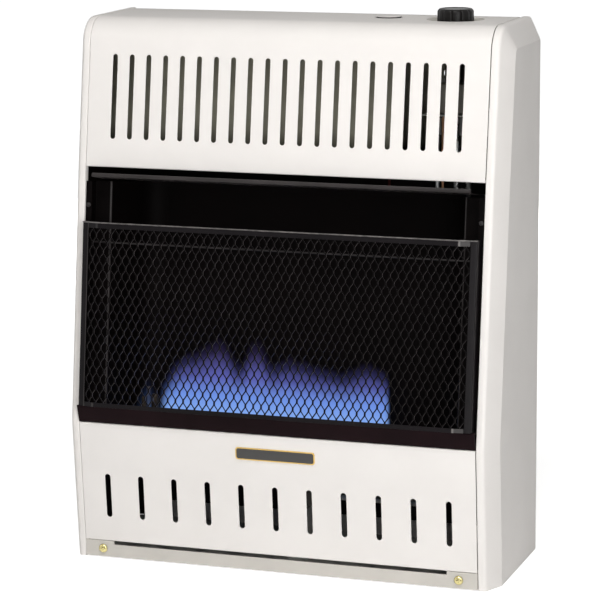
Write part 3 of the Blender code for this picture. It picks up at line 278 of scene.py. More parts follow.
# The next three blacks are painted highlights: lighter blacks for single faces where light catches them.
EDGE_HIGHLIGHT_BLACK = finish(
    "painted_edge_highlight", (0.026, 0.023, 0.023), 0.35, (0.3, 0.42), grain=(1600.0, 0.12), specular=0.2
)
NET_STRAND_HIGHLIGHT = finish(
    "net_painted_highlight", (0.066, 0.058, 0.058), 0.5, (0.3, 0.42), grain=(1600.0, 0.12), patch=160.0, specular=0.3
)
PALE_HIGHLIGHT_BLACK = finish(
    "painted_pale_highlight", (0.100, 0.092, 0.088), 0.45, (0.28, 0.45), grain=(1800.0, 0.2), patch=140.0, specular=0.5
)
print("paints:", ENAMEL.name, FIRE_BLACK.name, GUARD_BLACK.name)

# %% [markdown]
# Bare and plated metals follow. Aluminised steel has a cloudy spangle, so its colour drifts in larger
# patches. A casting keeps the grain of its mould, which is a strong bump, and the pilot's parts are sooted
# by their flame.

# %% Metals and plastics
ALUMINISED = finish("aluminised_steel", (0.30, 0.29, 0.23), 0.12, (0.4, 0.6), 0.75, (300.0, 0.15), 40.0)
BURNER_STEEL = finish("burner_steel", (0.30, 0.28, 0.26), 0.15, (0.3, 0.5), 1.0, (500.0, 0.2), 30.0)
BRASS = finish("brass", (0.60, 0.45, 0.16), 0.12, (0.22, 0.38), 1.0, (700.0, 0.12), 60.0)
SCREW_BRASS = finish("brass_plated_screw", (0.52, 0.46, 0.22), 0.12, (0.18, 0.34), 1.0, (900.0, 0.1), 90.0)
TUBE_ALUMINIUM = finish("aluminium_tube", (0.74, 0.74, 0.73), 0.08, (0.2, 0.36), 1.0, (500.0, 0.1), 50.0)
COPPER = finish("copper", (0.72, 0.38, 0.22), 0.15, (0.25, 0.42), 1.0, (500.0, 0.1), 50.0)
CASTING = finish("valve_casting", (0.19, 0.18, 0.155), 0.12, (0.42, 0.6), 0.85, (650.0, 0.6), 30.0)
ZINC = finish("zinc_plate", (0.60, 0.60, 0.57), 0.1, (0.3, 0.46), 0.9, (450.0, 0.15), 60.0)
KNOB_BLACK = finish(
    "knob_plastic", (0.0055, 0.0048, 0.0046), 0.15, (0.30, 0.42), grain=(1500.0, 0.2), specular=0.14
)
SOOTED = finish(
    "sooted_pilot", (0.060, 0.048, 0.038), 0.35, (0.45, 0.65), 0.7, (700.0, 0.4), 120.0, specular=0.2
)
# The dish is the same cream enamel as the deck; its darker colour is painted shade for the pressed recess.
DISH_PAINTED_SHADE = finish(
    "dish_painted_shade", (0.56, 0.54, 0.50), 0.04, (0.36, 0.46), grain=(900.0, 0.12), coat=0.15, specular=0.0
)
SLEEVE = finish("lead_sleeve", (0.10, 0.016, 0.012), 0.2, (0.6, 0.8), grain=(1200.0, 0.6))
BADGE_BLACK = finish("badge_black", (0.02, 0.018, 0.016), 0.15, (0.2, 0.3), grain=(900.0, 0.08), coat=0.3)
GOLD = finish("badge_gold", (0.62, 0.42, 0.13), 0.1, (0.22, 0.34), 1.0, (900.0, 0.1), 90.0)
print(len(bpy.data.materials), "materials")

# %% [markdown]
# The sheet behind the upper slots and the back of the cabinet are bright metal. A ramp over their own height
# darkens their front faces below a band just above the firebox and leaves the rest bright, and the direction
# of the surface keeps the darker colour off the sides that face the wall.


# %% Darker below a height
def darkened_below(name, source, low, high, dark):
    """A copy of a finish whose front faces are dark below one height and unchanged above another."""
    made = source.copy()
    made.name = name
    tree = made.node_tree
    shader = tree.nodes["Principled BSDF"]
    tint = shader.inputs["Base Color"].links[0].from_socket
    place = added(tree, "TexCoord").outputs
    height = added(tree, "SeparateXYZ", {0: place["Object"]}).outputs["Z"]
    facing = added(tree, "SeparateXYZ", {0: place["Normal"]}).outputs["Y"]
    band = added(tree, "MapRange", {"Value": height}, From_Min=low, From_Max=high)
    behind = added(tree, "Math", {0: facing})
    behind.operation = "GREATER_THAN"
    darkener = added(tree, "Mix")
    darkener.data_type = "RGBA"
    # The Mix node holds one A, B and result for each kind of value; these are the ones for colours.
    colour_a, colour_b, colour_out = darkener.inputs[6], 7, darkener.outputs[2]
    colour_a.default_value = (*dark, 1)
    fed(tree, darkener, {"Factor": maths(tree, "MAXIMUM", behind.outputs[0], band.outputs[0]), colour_b: tint})
    fed(tree, shader, {"Base Color": colour_out})
    return made


DARKEST_BELOW, PLAIN_ABOVE = 0.436, 0.462
LOW_DARKENED_SHEET = darkened_below("sheet_darkened_low", ALUMINISED, DARKEST_BELOW, PLAIN_ABOVE, (0.010, 0.008, 0.007))
print("darkened below", DARKEST_BELOW)

# %% Finishes on the solids that stay
KEPT = {
    INNER_ENAMEL: ("base_pan",),
    LOW_DARKENED_SHEET: ("heat_deflector", "back_panel"),
    FIRE_BLACK: ("burner_shelf",),
    # The rod's lighter black is a painted highlight along it.
    EDGE_HIGHLIGHT_BLACK: ("firebox_rod",),
    BURNER_STEEL: ("burner_tube", "burner_end_plug", "venturi", "burner_saddle_left", "burner_saddle_right"),
    BRASS: ("orifice_holder", "gas_inlet", "valve_stem"),
    SOOTED: ("pilot_burner", "thermocouple", "spark_electrode", "pilot_bracket"),
    TUBE_ALUMINIUM: ("supply_tube", "burner_gas_tube", "pilot_tube"),
    COPPER: ("thermocouple_lead",),
    CASTING: ("gas_valve", "regulator"),
    ZINC: ("orifice_bracket", "valve_bracket", "regulator_bracket", "stem_return_washer"),
    KNOB_BLACK: ("igniter_body",),
    SLEEVE: ("ignition_lead",),
}
for coat, names in KEPT.items():
    for name in names:
        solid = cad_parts[name].data
        solid.materials.clear()
        solid.materials.append(coat)
print(sum(len(names) for names in KEPT.values()), "solids keep their shape")

# %% [markdown]
# ## Tools for folded sheet
# Nearly everything here is bent sheet metal, so the same three steps come back: draw the fold as a line of
# points, round its corners, and sweep it along a straight edge. A Solidify modifier then gives the sheet
# its thickness and a narrow Bevel takes the razor edge off, which is what catches the light on real
# pressings.


# %% Placing a piece
def placed(
    name, bm, coat, frame_matrix=WALL_FRAME, nodes=(), body="cabinet", sharp=32
):
    """Turns bmesh work into an object that rides on a body and stands for its solids."""
    mesh = bpy.data.meshes.new(name)
    bm.edges.index_update()
    open_edges = [edge.index for edge in bm.edges if edge.is_boundary]
    bm.to_mesh(mesh)
    bm.free()
    mesh.shade_smooth()
    mesh.set_sharp_from_angle(angle=radians(sharp))
    # An open edge becomes the sheet's rim, and a rim with smooth shading would darken the faces beside it.
    for index in open_edges:
        mesh.edges[index].use_edge_sharp = True
    mesh.materials.append(coat)
    made = bpy.data.objects.new(name, mesh)
    made.matrix_world = frame_matrix
    bpy.context.scene.collection.objects.link(made)
    bpy.context.view_layer.update()
    if nodes:
        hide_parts(*nodes)
    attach(made, body)
    return made


# %% Rounding a fold line
def eased(corners, radius, steps=5):
    """The points of a folded line with every inner corner rounded; radius may be one value per corner."""
    corners = [Vector((*c, 0)) if len(c) == 2 else Vector(c) for c in corners]
    radii = radius if isinstance(radius, (list, tuple)) else [radius] * (len(corners) - 2)
    line = [corners[0]]
    for before, corner, after, r in zip(corners, corners[1:], corners[2:], radii):
        a, b = (before - corner).normalized(), (after - corner).normalized()
        half = a.angle(b) / 2
        if r == 0 or half > pi / 2 - 0.02:
            line.append(corner)
            continue
        reach = r / tan(half)
        centre = corner + (a + b).normalized() * (r / sin(half))
        start, end = corner + a * reach - centre, corner + b * reach - centre
        sweep = start.angle(end)
        axis = start.cross(end).normalized()
        for step in range(steps + 1):
            line.append(centre + Matrix.Rotation(sweep * step / steps, 3, axis) @ start)
    line.append(corners[-1])
    return line


print(len(eased([(0, 0), (1, 0), (1, 1)], 0.2)), "points round one corner")


# %% Sweeping a fold into sheet
def swept(line, along):
    """A bmesh strip: a line's points carried along a vector. Its faces look where X cross the line points."""
    bm = bmesh.new()
    near = [bm.verts.new(p) for p in line]
    far = [bm.verts.new(Vector(p) + Vector(along)) for p in line]
    for i in range(len(line) - 1):
        bm.faces.new((near[i], far[i], far[i + 1], near[i + 1]))
    return bm


def thicken(made, thickness, edge):
    """Gives a strip its sheet thickness, behind its faces, and breaks its edges if edge isn't zero."""
    thick = made.modifiers.new("sheet", "SOLIDIFY")
    thick.thickness, thick.offset, thick.use_even_offset = thickness, -1, True
    if edge:
        soften = made.modifiers.new("broken_edges", "BEVEL")
        soften.width, soften.segments, soften.limit_method = edge, 2, "ANGLE"
        soften.angle_limit = radians(40)
        soften.harden_normals = True


def sheet_across(
    name, line, half, coat, frame_matrix, node, slot="cream_powder_coat", sharp=32, thickness=SHEET, edge=0
):
    """A folded sheet that runs across the cabinet and reaches half to each side of its middle."""
    left = [Vector((-half, point[1], point[2])) for point in line]
    made = placed(name, swept(left, (2 * half, 0, 0)), coat, frame_matrix, (node,), sharp=sharp)
    thicken(made, thickness, edge=edge)
    return made


def settle(made):
    """Applies what the modifiers do, so that later steps work on plain mesh."""
    shown = made.evaluated_get(bpy.context.evaluated_depsgraph_get())
    baked = bpy.data.meshes.new_from_object(shown)
    made.modifiers.clear()
    old, made.data = made.data, baked
    bpy.data.meshes.remove(old)


# %% Punching holes
def punched(made, bm, frame_matrix):
    """Cuts the shapes in bm out of a sheet with one exact Boolean and applies it."""
    mesh = bpy.data.meshes.new("punch")
    bmesh.ops.recalc_face_normals(bm, faces=bm.faces)
    bm.to_mesh(mesh)
    bm.free()
    punch = bpy.data.objects.new("punch", mesh)
    punch.matrix_world = frame_matrix
    bpy.context.scene.collection.objects.link(punch)
    hole = made.modifiers.new("holes", "BOOLEAN")
    hole.object, hole.solver = punch, "EXACT"
    bpy.context.view_layer.update()
    settle(made)
    bpy.data.objects.remove(punch)


# %% Shapes for punches and plates
PUNCH_DEPTH = 0.026


def prism(bm, outline, depth):
    """Adds an upright outline of (x, z) points to bm, drawn out by depth along Y."""
    face = bm.faces.new([bm.verts.new((x, -depth / 2, z)) for x, z in outline])
    drawn = bmesh.ops.extrude_face_region(bm, geom=[face])["geom"]
    far = [item for item in drawn if isinstance(item, bmesh.types.BMVert)]
    bmesh.ops.translate(bm, vec=(0, depth, 0), verts=far)


def slot_row(count, pitch, width, length, arc=8):
    """A row of slots with round ends, as punches that reach well through a sheet."""
    bm = bmesh.new()
    r = width / 2
    for number in range(count):
        x = (number - (count - 1) / 2) * pitch
        outline = []
        for end, start in ((1, 0), (-1, pi)):
            for step in range(arc + 1):
                angle = pi * step / arc + start
                outline.append((x + r * cos(angle), end * (length / 2 - r) + r * sin(angle)))
        prism(bm, outline, PUNCH_DEPTH)
    return bm


# %% Joining rings and breaking edges
def join_rings(bm, rings):
    """Faces between closed rings of points, with a cap on the first and the last."""
    for one, two in zip(rings, rings[1:]):
        for i in range(len(one)):
            j = (i + 1) % len(one)
            bm.faces.new((one[i], one[j], two[j], two[i]))
    bm.faces.new(rings[-1])
    bm.faces.new(rings[0][::-1])


def break_edges(made, width=0.0003):
    """Rounds the cut edges of a punched sheet and keeps its flats flat."""
    weld = made.modifiers.new("weld", "WELD")
    weld.merge_threshold = 0.00002
    soften = made.modifiers.new("broken_edges", "BEVEL")
    soften.width, soften.segments, soften.limit_method = width, 2, "ANGLE"
    soften.angle_limit = radians(50)
    soften.harden_normals = True


# %% [markdown]
# ## The side panels
# Each side panel is one sheet that shows four surfaces: a narrow flat border beside the seam, a soft bend,
# a chamfer, and the side face behind a crisp crease. Seen from above it is a single folded line, but that
# line shrinks and grows with the cabinet's outline, so the panel is lofted: the same outline is drawn again
# and again, each time a little further out and further in, and the rings are joined with faces.


# %% The cabinet's outline, drawn smaller
CREASE_SOFT = 0.004


def case_outline(inset_front, inset_top, bend, facets=14):
    """(y, z) points from the floor up the front, round the bend and back along the deck to the wall."""
    top = HEIGHT - inset_top
    corner = front_y(top) + inset_front
    turn = pi / 2 - LEAN_UPPER
    back = bend * tan(turn / 2)
    heights = (0, CREASE_Z - CREASE_SOFT, CREASE_Z + CREASE_SOFT, PANEL_EDGE_Z)
    line = [(front_y(z) + inset_front, z) for z in heights]
    for step in range(facets + 1):
        angle = pi - LEAN_UPPER - turn * step / facets
        line.append((corner + back + bend * cos(angle), top - bend + bend * sin(angle)))
    return line + [(0, top)]


STRIP, CHAMFER_DEPTH, CHAMFER_DROP = 0.0080, 0.0260, 0.0241
SIDE_WIDTH = HALF_WIDTH - SEAM
fold = [(0.0, 0.0080), (0.0, 0.0), (STRIP, 0.0), (SIDE_WIDTH, CHAMFER_DEPTH), (SIDE_WIDTH, 0.040)]
fold = eased(fold, [0.0012, 0.0050, 0.0011], steps=6)[:-1]
print("side panel fold:", len(fold), "rings")


# %% Lofting the side panels
SIDE_BEND = 0.010
WALL_FLANGE, FOOT_FLANGE = 0.0195, 0.025
FLANGE_RELIEF = 0.015
WALL_CLEAR, FOOT_CLEAR = 0.0012, 0.0014


def side_panel(name, side):
    """One side panel: the fold's rings, the side face that fills the last ring, and two flanges behind it."""
    bm = bmesh.new()
    rings = []
    for point in fold:
        inset = point.y
        share = min(inset / CHAMFER_DEPTH, 1)
        bend = DECK_BEND - (DECK_BEND - SIDE_BEND) * share if point.x > STRIP else DECK_BEND - inset
        outline = case_outline(inset, inset * CHAMFER_DROP / CHAMFER_DEPTH, bend)
        rings.append([bm.verts.new((side * (SEAM + point.x), y, z)) for y, z in outline])
    for one, two in zip(rings, rings[1:]):
        for i in range(len(one) - 1):
            bm.faces.new((one[i], one[i + 1], two[i + 1], two[i]))
    rim = rings[-1]
    x, high = rim[0].co.x, rim[-1].co.z - FLANGE_RELIEF
    turning = ((0, high), (0, WALL_CLEAR), (0, 0), (-FOOT_CLEAR, 0))
    corner = [bm.verts.new((x, y, z)) for y, z in turning]
    bm.faces.new((*rim, *corner))
    wall_in = [bm.verts.new((x - side * WALL_FLANGE, 0, z)) for z in (high, WALL_CLEAR)]
    bm.faces.new((corner[0], wall_in[0], wall_in[1], corner[1]))
    foot_in = [bm.verts.new((x - side * FOOT_FLANGE, y, 0)) for y in (rim[0].co.y, -FOOT_CLEAR)]
    bm.faces.new((rim[0], corner[3], foot_in[1], foot_in[0]))
    bmesh.ops.recalc_face_normals(bm, faces=bm.faces)
    largest = max(bm.faces, key=lambda face: face.calc_area())
    if largest.normal.x * side < 0:
        bmesh.ops.reverse_faces(bm, faces=bm.faces)
    made = placed(name, bm, ENAMEL, nodes=(name.replace("shell", "panel"),), sharp=28)
    # The faces that the thickness adds inside take the second finish, a near-black painted shade.
    made.data.materials.append(SHADED_INSIDE)
    thicken(made, SHEET, edge=0)
    made.modifiers["sheet"].material_offset = 1


for name, side in (("side_shell_left", -1), ("side_shell_right", 1)):
    side_panel(name, side)
print("side panels lofted")

# %% [markdown]
# ## The louvred front panels
# The upper panel runs up the front, over the bend and back along the deck in one piece. Its slots are
# punched while the sheet is flat in the factory. Here the folded sheet is made first and a row of
# slot-shaped punches is subtracted from it, because the slots lie wholly in the flat part.

# %% Upper panel
SEAM_HALF = PANEL_HALF - 0.0003
DECK_BACK, FLANGE, FOLD_RADIUS = -0.0103, 0.010, 0.0012
bend_line = [(0, *point) for point in case_outline(0, 0, DECK_BEND, 18)[4:-1]]
edge_y = front_y(PANEL_EDGE_Z)
lip = [(0, edge_y + FLANGE, PANEL_EDGE_Z + 0.001), (0, edge_y, PANEL_EDGE_Z), bend_line[0]]
tail = [bend_line[-1], (0, DECK_BACK, HEIGHT), (0, DECK_BACK, HEIGHT - FLANGE)]
upper_line = [*eased(lip, FOLD_RADIUS, 4)[:-1], *bend_line, *eased(tail, FOLD_RADIUS, 4)[1:]]
upper = sheet_across("upper_panel", upper_line, SEAM_HALF, ENAMEL, WALL_FRAME, "upper_front_panel")
settle(upper)


def on_front(z, lean):
    """A frame on the cabinet's face at a height, leaning with it."""
    return WALL_FRAME @ Matrix.Translation((0, front_y(z), z)) @ Matrix.Rotation(lean, 4, "X")


punched(upper, slot_row(count=21, pitch=0.0190, width=0.0055, length=0.0898), on_front(0.4983, -LEAN_UPPER))
print("upper panel:", len(upper.data.polygons), "faces")

# %% Holes in the deck
KNOB_AT = Vector((0.1604, -0.0517, 0))
BUTTON_AT = Vector((0.0868, -0.0480, 0))
DISH_RADIUS = 0.0308
BUTTON_RADIUS = 0.0136
holes = bmesh.new()
for centre, radius in ((KNOB_AT, DISH_RADIUS - 0.0004), (BUTTON_AT, BUTTON_RADIUS + 0.0010)):
    at = Matrix.Translation((centre.x, centre.y, HEIGHT))
    bmesh.ops.create_cone(
        holes, cap_ends=True, segments=72, radius1=radius, radius2=radius, depth=0.01, matrix=at
    )
punched(upper, holes, WALL_FRAME)
break_edges(upper)
print("deck holes cut")

# %% Lower panel
LOW_EDGE_Z = 0.0194
low_top = CREASE_Z - GAP
low_fold = [
    (0, front_y(LOW_EDGE_Z) + FLANGE, LOW_EDGE_Z),
    (0, front_y(LOW_EDGE_Z), LOW_EDGE_Z),
    (0, front_y(low_top), low_top),
    (0, front_y(low_top) + FLANGE, low_top),
]
low_line = eased(low_fold, FOLD_RADIUS, 4)
lower = sheet_across("lower_panel", low_line, SEAM_HALF, ENAMEL, WALL_FRAME, "lower_front_panel")
settle(lower)
punched(lower, slot_row(count=11, pitch=0.0380, width=0.0062, length=0.0490), on_front(0.0711, LEAN_LOWER))
break_edges(lower)
print("lower panel:", len(lower.data.polygons), "faces")

# %% [markdown]
# ## The dish and the knob
# The deck is pressed down round the knob so that it stands low. A profile turned about the knob's axis
# gives the dish, and its rim meets the deck tangentially. The knob is a cap with twelve narrow grooves and
# a chamfered top, which is easiest as rings of points whose radius dips at each groove.


# %% Turning a profile
def turned(profile, steps=64):
    """A bmesh made by turning (radius, height) points about Z."""
    bm = bmesh.new()
    line = [bm.verts.new((r, 0, z)) for r, z in profile]
    geometry = line + [bm.edges.new(pair) for pair in zip(line, line[1:])]
    turn = {"cent": (0, 0, 0), "axis": (0, 0, 1), "angle": 2 * pi}
    bmesh.ops.spin(bm, geom=geometry, steps=steps, use_merge=True, **turn)
    bmesh.ops.remove_doubles(bm, verts=bm.verts, dist=0.000004)
    bmesh.ops.recalc_face_normals(bm, faces=bm.faces)
    return bm


def at_deck(centre, rise=0.0):
    """A frame on the deck, at a place in plan and a height above it."""
    return WALL_FRAME @ Matrix.Translation((centre.x, centre.y, HEIGHT + rise))


dish_fold = [(0.0329, 0, 0.00006), (0.0300, 0, -0.0002), (0.0245, 0, -0.0064), (0.0066, 0, -0.0064)]
dish_line = [(p.x, p.z) for p in eased(dish_fold, 0.004, 6)]
dish_back = [(r + 0.0006 if r < 0.030 else r - 0.0004, z - 0.0009) for r, z in reversed(dish_line)]
bm = turned([*dish_line[1:], *dish_back[:-1], dish_line[1]], 72)
# Painted shade: the dish takes the darker enamel for the shade in its recess.
placed("knob_dish", bm, DISH_PAINTED_SHADE, at_deck(KNOB_AT))
print("dish rim radius", round(dish_line[1][0], 4))

# %% Knob
KNOB_RADIUS, KNOB_TOP, KNOB_HEIGHT = 0.01925, 0.5916, 0.0130
GROOVES, PER_GROOVE, FIRST_GROOVE = 12, 16, radians(18.8)
GROOVE_DEPTH, CROWN, DRAFT = 0.0010, 0.0003, 0.0003
knob_rings = [  # share of the radius, height
    (0.0040, 0.0),
    (1.0, 0.0),
    (1.0, 0.0006),
    (0.992, KNOB_HEIGHT - 0.0030),
    (0.975, KNOB_HEIGHT - 0.0020),
    (0.90, KNOB_HEIGHT - 0.0004),
    (0.87, KNOB_HEIGHT),
    (0.80, KNOB_HEIGHT - 0.0001),
    (0.78, KNOB_HEIGHT - 0.0006),
    (0.02, KNOB_HEIGHT - 0.0006),
]
bm = bmesh.new()
rings = []
for share, z in knob_rings:
    ring = []
    for step in range(GROOVES * PER_GROOVE):
        angle = 2 * pi * step / (GROOVES * PER_GROOVE) + FIRST_GROOVE
        phase = abs(step % PER_GROOVE - PER_GROOVE / 2) / (PER_GROOVE / 2)  # 0 in a groove, 1 between two
        dip = GROOVE_DEPTH * max(1 - phase * 5.0, 0) if share > 0.85 else 0
        crown = CROWN * (1 - (1 - phase) ** 2) if share > 0.9 else 0
        reach = max(KNOB_RADIUS * share - dip - DRAFT * (share > 0.9) + crown, 0.0002)
        ring.append(bm.verts.new((reach * cos(angle), reach * sin(angle), z)))
    rings.append(ring)
join_rings(bm, rings)
knob_frame = at_deck(KNOB_AT, KNOB_TOP - KNOB_HEIGHT - HEIGHT)
knob = placed("knob_cap", bm, KNOB_BLACK, knob_frame, ("control_knob",), "knob", 40)
print("knob:", GROOVES, "grooves,", len(knob.data.polygons), "faces")

# %% [markdown]
# ## The igniter button
# The button is a flat enamelled cap that stands a little above the deck over a black plunger. The dark line
# in front of it is the plunger's gap, so the cap and the plunger are two pieces.

# %% Igniter button
PROUD, UNDER = 0.0014, 0.0009
cap_fold = [(0.0002, 0, PROUD), (0.0134, 0, PROUD), (0.0134, 0, UNDER), (0.0128, 0, UNDER)]
cap_line = [(p.x, p.z) for p in eased(cap_fold, 0.0002, 3)]
placed("button_cap", turned([*cap_line, (0.0002, UNDER)], 64), ENAMEL, at_deck(BUTTON_AT), body="button")
skirt_line = [(0.0002, 0.00085), (0.0132, 0.00085), (0.0132, -0.0042), (0.0035, -0.0042), (0.0035, -0.0190)]
skirt = turned([*skirt_line, (0.0002, -0.0190)], 48)
placed("button_skirt", skirt, KNOB_BLACK, at_deck(BUTTON_AT), ("igniter_button",), "button")
print("button stands", PROUD * 1000, "mm proud")

# %% [markdown]
# ## The firebox
# Behind the guard a black sheet folds inwards: a narrow strip beside the seam, a step back, a flat flange,
# and a cheek that curves round to the rear wall. The roof of the firebox is a second sheet whose front edge
# is rolled into a stiff round hem. It throws the hot air clear of the panel above.


# %% Sheets folded in plan
def upright_line(half_plan, radii, steps=6):
    """Rounds a half plan and mirrors it to the other side."""
    half = eased(half_plan, radii, steps)
    return half + [Vector((-p.x, p.y, 0)) for p in reversed(half[:-1])]


LINER_LOW, LINER_TOP = -0.0020, 0.2580
LINER_STEP, LINER_RECESS, FIREBOX_DEPTH = 0.0030, 0.0150, 0.0850
CHEEK_FRONT, CHEEK_REAR = 0.1953, 0.1760
strip_in = PANEL_HALF - 0.0065
liner_plan = [
    (PANEL_HALF, LINER_STEP),
    (strip_in, LINER_STEP),
    (strip_in, LINER_RECESS),
    (CHEEK_FRONT, LINER_RECESS),
    (CHEEK_REAR, FIREBOX_DEPTH),
    (0, FIREBOX_DEPTH),
]
liner_line = upright_line(liner_plan, [0.0006, 0.0006, 0.0020, 0.0280])
liner_line = [Vector((p.x, p.y, LINER_LOW)) for p in liner_line]
bm = swept(liner_line, (0, 0, LINER_TOP - LINER_LOW))
liner = placed("firebox_walls", bm, FIRE_BLACK, LEAN_FRAME, ("firebox_liner",), sharp=50)
thicken(liner, SHEET, edge=0)
# The fold between flange and cheek takes the hood's lighter black as a painted highlight along the fold.
liner.data.materials.append(BLACK_FOR_HOOD_AND_HIGHLIGHT)
for face in liner.data.polygons:
    if abs(abs(face.center.x) - CHEEK_FRONT) < 0.0016 and 0.0145 < face.center.y < 0.0180:
        face.material_index = 1
print("firebox walls:", len(liner_line), "points in plan")

# %% Hood with its rolled hem
HEM_RADIUS, HOOD_REACH, HOOD_HALF = 0.0023, 0.0103, 0.2073
HEM_TURN, HEM_STEPS = radians(300), 24
hood_seat = LINER_TOP + GAP
hem_z = hood_seat + 0.0045 + HEM_RADIUS
hood_line = [(0, 0.0860, hood_seat), (0, 0.0150, hood_seat + 0.00225)]
for step in range(HEM_STEPS + 1):
    angle = -pi / 2 - HEM_TURN * step / HEM_STEPS
    hood_line.append((0, -HOOD_REACH + HEM_RADIUS * cos(angle), hem_z + HEM_RADIUS * sin(angle)))
sheet_across(
    "hood_sheet", hood_line, HOOD_HALF, BLACK_FOR_HOOD_AND_HIGHLIGHT, LEAN_FRAME, "firebox_hood", "black_heat_paint", 40, 0.0008
)
print("hood hem at z", round((LEAN_FRAME @ Vector((0, -HOOD_REACH, hem_z))).z, 4))

# %% Ledge under the guard
LEDGE_TOP, LEDGE_REACH = 0.0186, 0.0082
ledge_fold = [(0, 0, 0.0005), (0, -LEDGE_REACH, LEDGE_TOP), (0, 0.0147, LEDGE_TOP), (0, 0.0147, 0.0010)]
line = eased(ledge_fold, 0.0011, 5)
finish_and_place = (LEDGE_BLACK, LEAN_FRAME, "guard_ledge", "black_heat_paint")
sheet_across("ledge_sheet", line, PANEL_HALF, *finish_and_place, sharp=40, edge=0.0002)
print("ledge", round(2 * PANEL_HALF * 1000), "mm long")

# %% [markdown]
# ## The guard
# The guard is a shallow tray without a floor: a rim of bent strip, chamfered at both ends, holding a sheet
# of expanded metal. The rim is swept in plan with softly rounded corners, because those corners carry the
# bright reflections in the picture, and a window is punched out of it.

# %% Guard rim
GUARD_LOW, GUARD_TOP = LEDGE_TOP + GAP, 0.2157
GUARD_SHEET = 0.0012
GUARD_HALF, WINDOW_HALF, FACE_HALF = 0.2167, 0.2097, 0.1985
guard_plan = [
    (GUARD_HALF, 0.0027),
    (GUARD_HALF, -0.0105),
    (WINDOW_HALF, -0.0117),
    (FACE_HALF, -0.0160),
    (0, -0.0160),
]
rim_line = upright_line(guard_plan, [0.0016, 0.0090, 0.0070])
rim_line = [Vector((p.x, p.y, GUARD_LOW)) for p in rim_line]
bm = swept(rim_line, (0, 0, GUARD_TOP - GUARD_LOW))
rim = placed("guard_rim", bm, GUARD_BLACK, LEAN_FRAME, ("guard_frame",), sharp=40)
thicken(rim, GUARD_SHEET, edge=0)
settle(rim)
window_low, window_top = GUARD_LOW + 0.0045, GUARD_TOP - 0.0065
window = bmesh.new()
corners = ((-1, window_low), (1, window_low), (1, window_top), (-1, window_top))
prism(window, [(side * WINDOW_HALF, z) for side, z in corners], 0.060)
punched(rim, window, LEAN_FRAME)
break_edges(rim)
print("guard window", round((window_top - window_low) * 1000), "mm high")

# %% Painted highlights on the bends
# Only faces that look forward and a little sideways are bends. Finish 1 is a painted highlight on the bends
# and wings, and finish 2, on the right bend that faces the light, is a paler painted highlight.
rim.data.materials.append(EDGE_HIGHLIGHT_BLACK)
rim.data.materials.append(PALE_HIGHLIGHT_BLACK)
for face in rim.data.polygons:
    if face.normal.y > -0.9 or not 0.03 < abs(face.normal.x) < 0.4:
        continue
    x = face.center.x
    at_bend = 0.1935 < abs(x) < 0.2035
    on_wing = 0 < x < 0.2092 or -0.2115 < x < -0.2092
    if at_bend and x > 0 and face.normal.x > 0.08:
        face.material_index = 2
    elif at_bend or on_wing:
        face.material_index = 1
print(sum(face.material_index > 0 for face in rim.data.polygons), "faces with painted highlight")

# %% [markdown]
# The top edge of the rim is hemmed: a thin round bead. Its pale colour is a painted highlight, so it draws
# one bright line across the black. It follows the rim's own plan, a little in front of it.

# %% Bead on the rim's top edge
BEAD, BEAD_SIDES = 0.0007, 10
bead_plan = upright_line(guard_plan[1:], [0.0090, 0.0070])
bead = bmesh.new()
rings = []
for before, point, after in zip([bead_plan[0], *bead_plan], bead_plan, [*bead_plan[1:], bead_plan[-1]]):
    out = Vector(((after - before).y, -(after - before).x, 0)).normalized()
    out = out if out.y <= 0 else -out
    centre = Vector((point.x, point.y, GUARD_TOP - BEAD)) - out * BEAD * 0.3
    turns = [2 * pi * step / BEAD_SIDES for step in range(BEAD_SIDES)]
    ring = [centre + out * BEAD * cos(turn) + Vector((0, 0, BEAD * sin(turn))) for turn in turns]
    rings.append([bead.verts.new(point) for point in ring])
join_rings(bead, rings)
bmesh.ops.recalc_face_normals(bead, faces=bead.faces)
# The bead's pale black is a painted highlight along the guard's top edge.
placed("guard_bead", bead, PALE_HIGHLIGHT_BLACK, LEAN_FRAME, sharp=60)
print("bead", round(2000 * BEAD, 1), "mm thick")

# %% [markdown]
# Expanded metal is slit and stretched from one sheet. Every opening is a tall diamond, two strands run
# together for a few millimetres at each bond, and the strands stand slightly on edge. One bond with its
# four half strands is a unit that repeats on a brick pattern, so the whole net is a double loop. The
# strands are flat ribbons with their own thickness, not wires.

# %% Expanded-metal net
PITCH_X, PITCH_Z = 0.0087, 0.0170
BOND = 0.0030
STRAND, NET_DEPTH = 0.00102, 0.0010
OVERLAP, SLANT = 0.0003, 0.00012
NET_HALF, NET_TUCK = 0.2125, 0.0012


def net_y(x):
    """Depth of the net's middle: flat across the face and bent back past its folds, like the rim."""
    return -0.0140 + max(abs(x) - FACE_HALF, 0) * 0.38


def ribbon(bm, start, end, width, depth, slant=0.0):
    """A bar of rectangular section between two (x, z) points in the net, its front shifted sideways by slant.

    The bar's right face takes the second finish, a painted highlight where the light catches it.
    """
    a, b = Vector(start), Vector(end)
    across = Vector((-(b - a).y, (b - a).x)).normalized() * width / 2
    ring = []
    for point in (a, b):
        y = net_y(point.x)
        for side, front in ((1, -1), (1, 1), (-1, 1), (-1, -1)):
            x = point.x + across.x * side + slant * front
            ring.append(bm.verts.new((x, y + front * depth / 2, point.y + across.y * side)))
    for i in range(4):
        j = (i + 1) % 4
        face = bm.faces.new((ring[i], ring[j], ring[4 + j], ring[4 + i]))
        face.material_index = 1 if i == 2 else 0
    bm.faces.new(ring[3::-1])
    bm.faces.new(ring[4:])


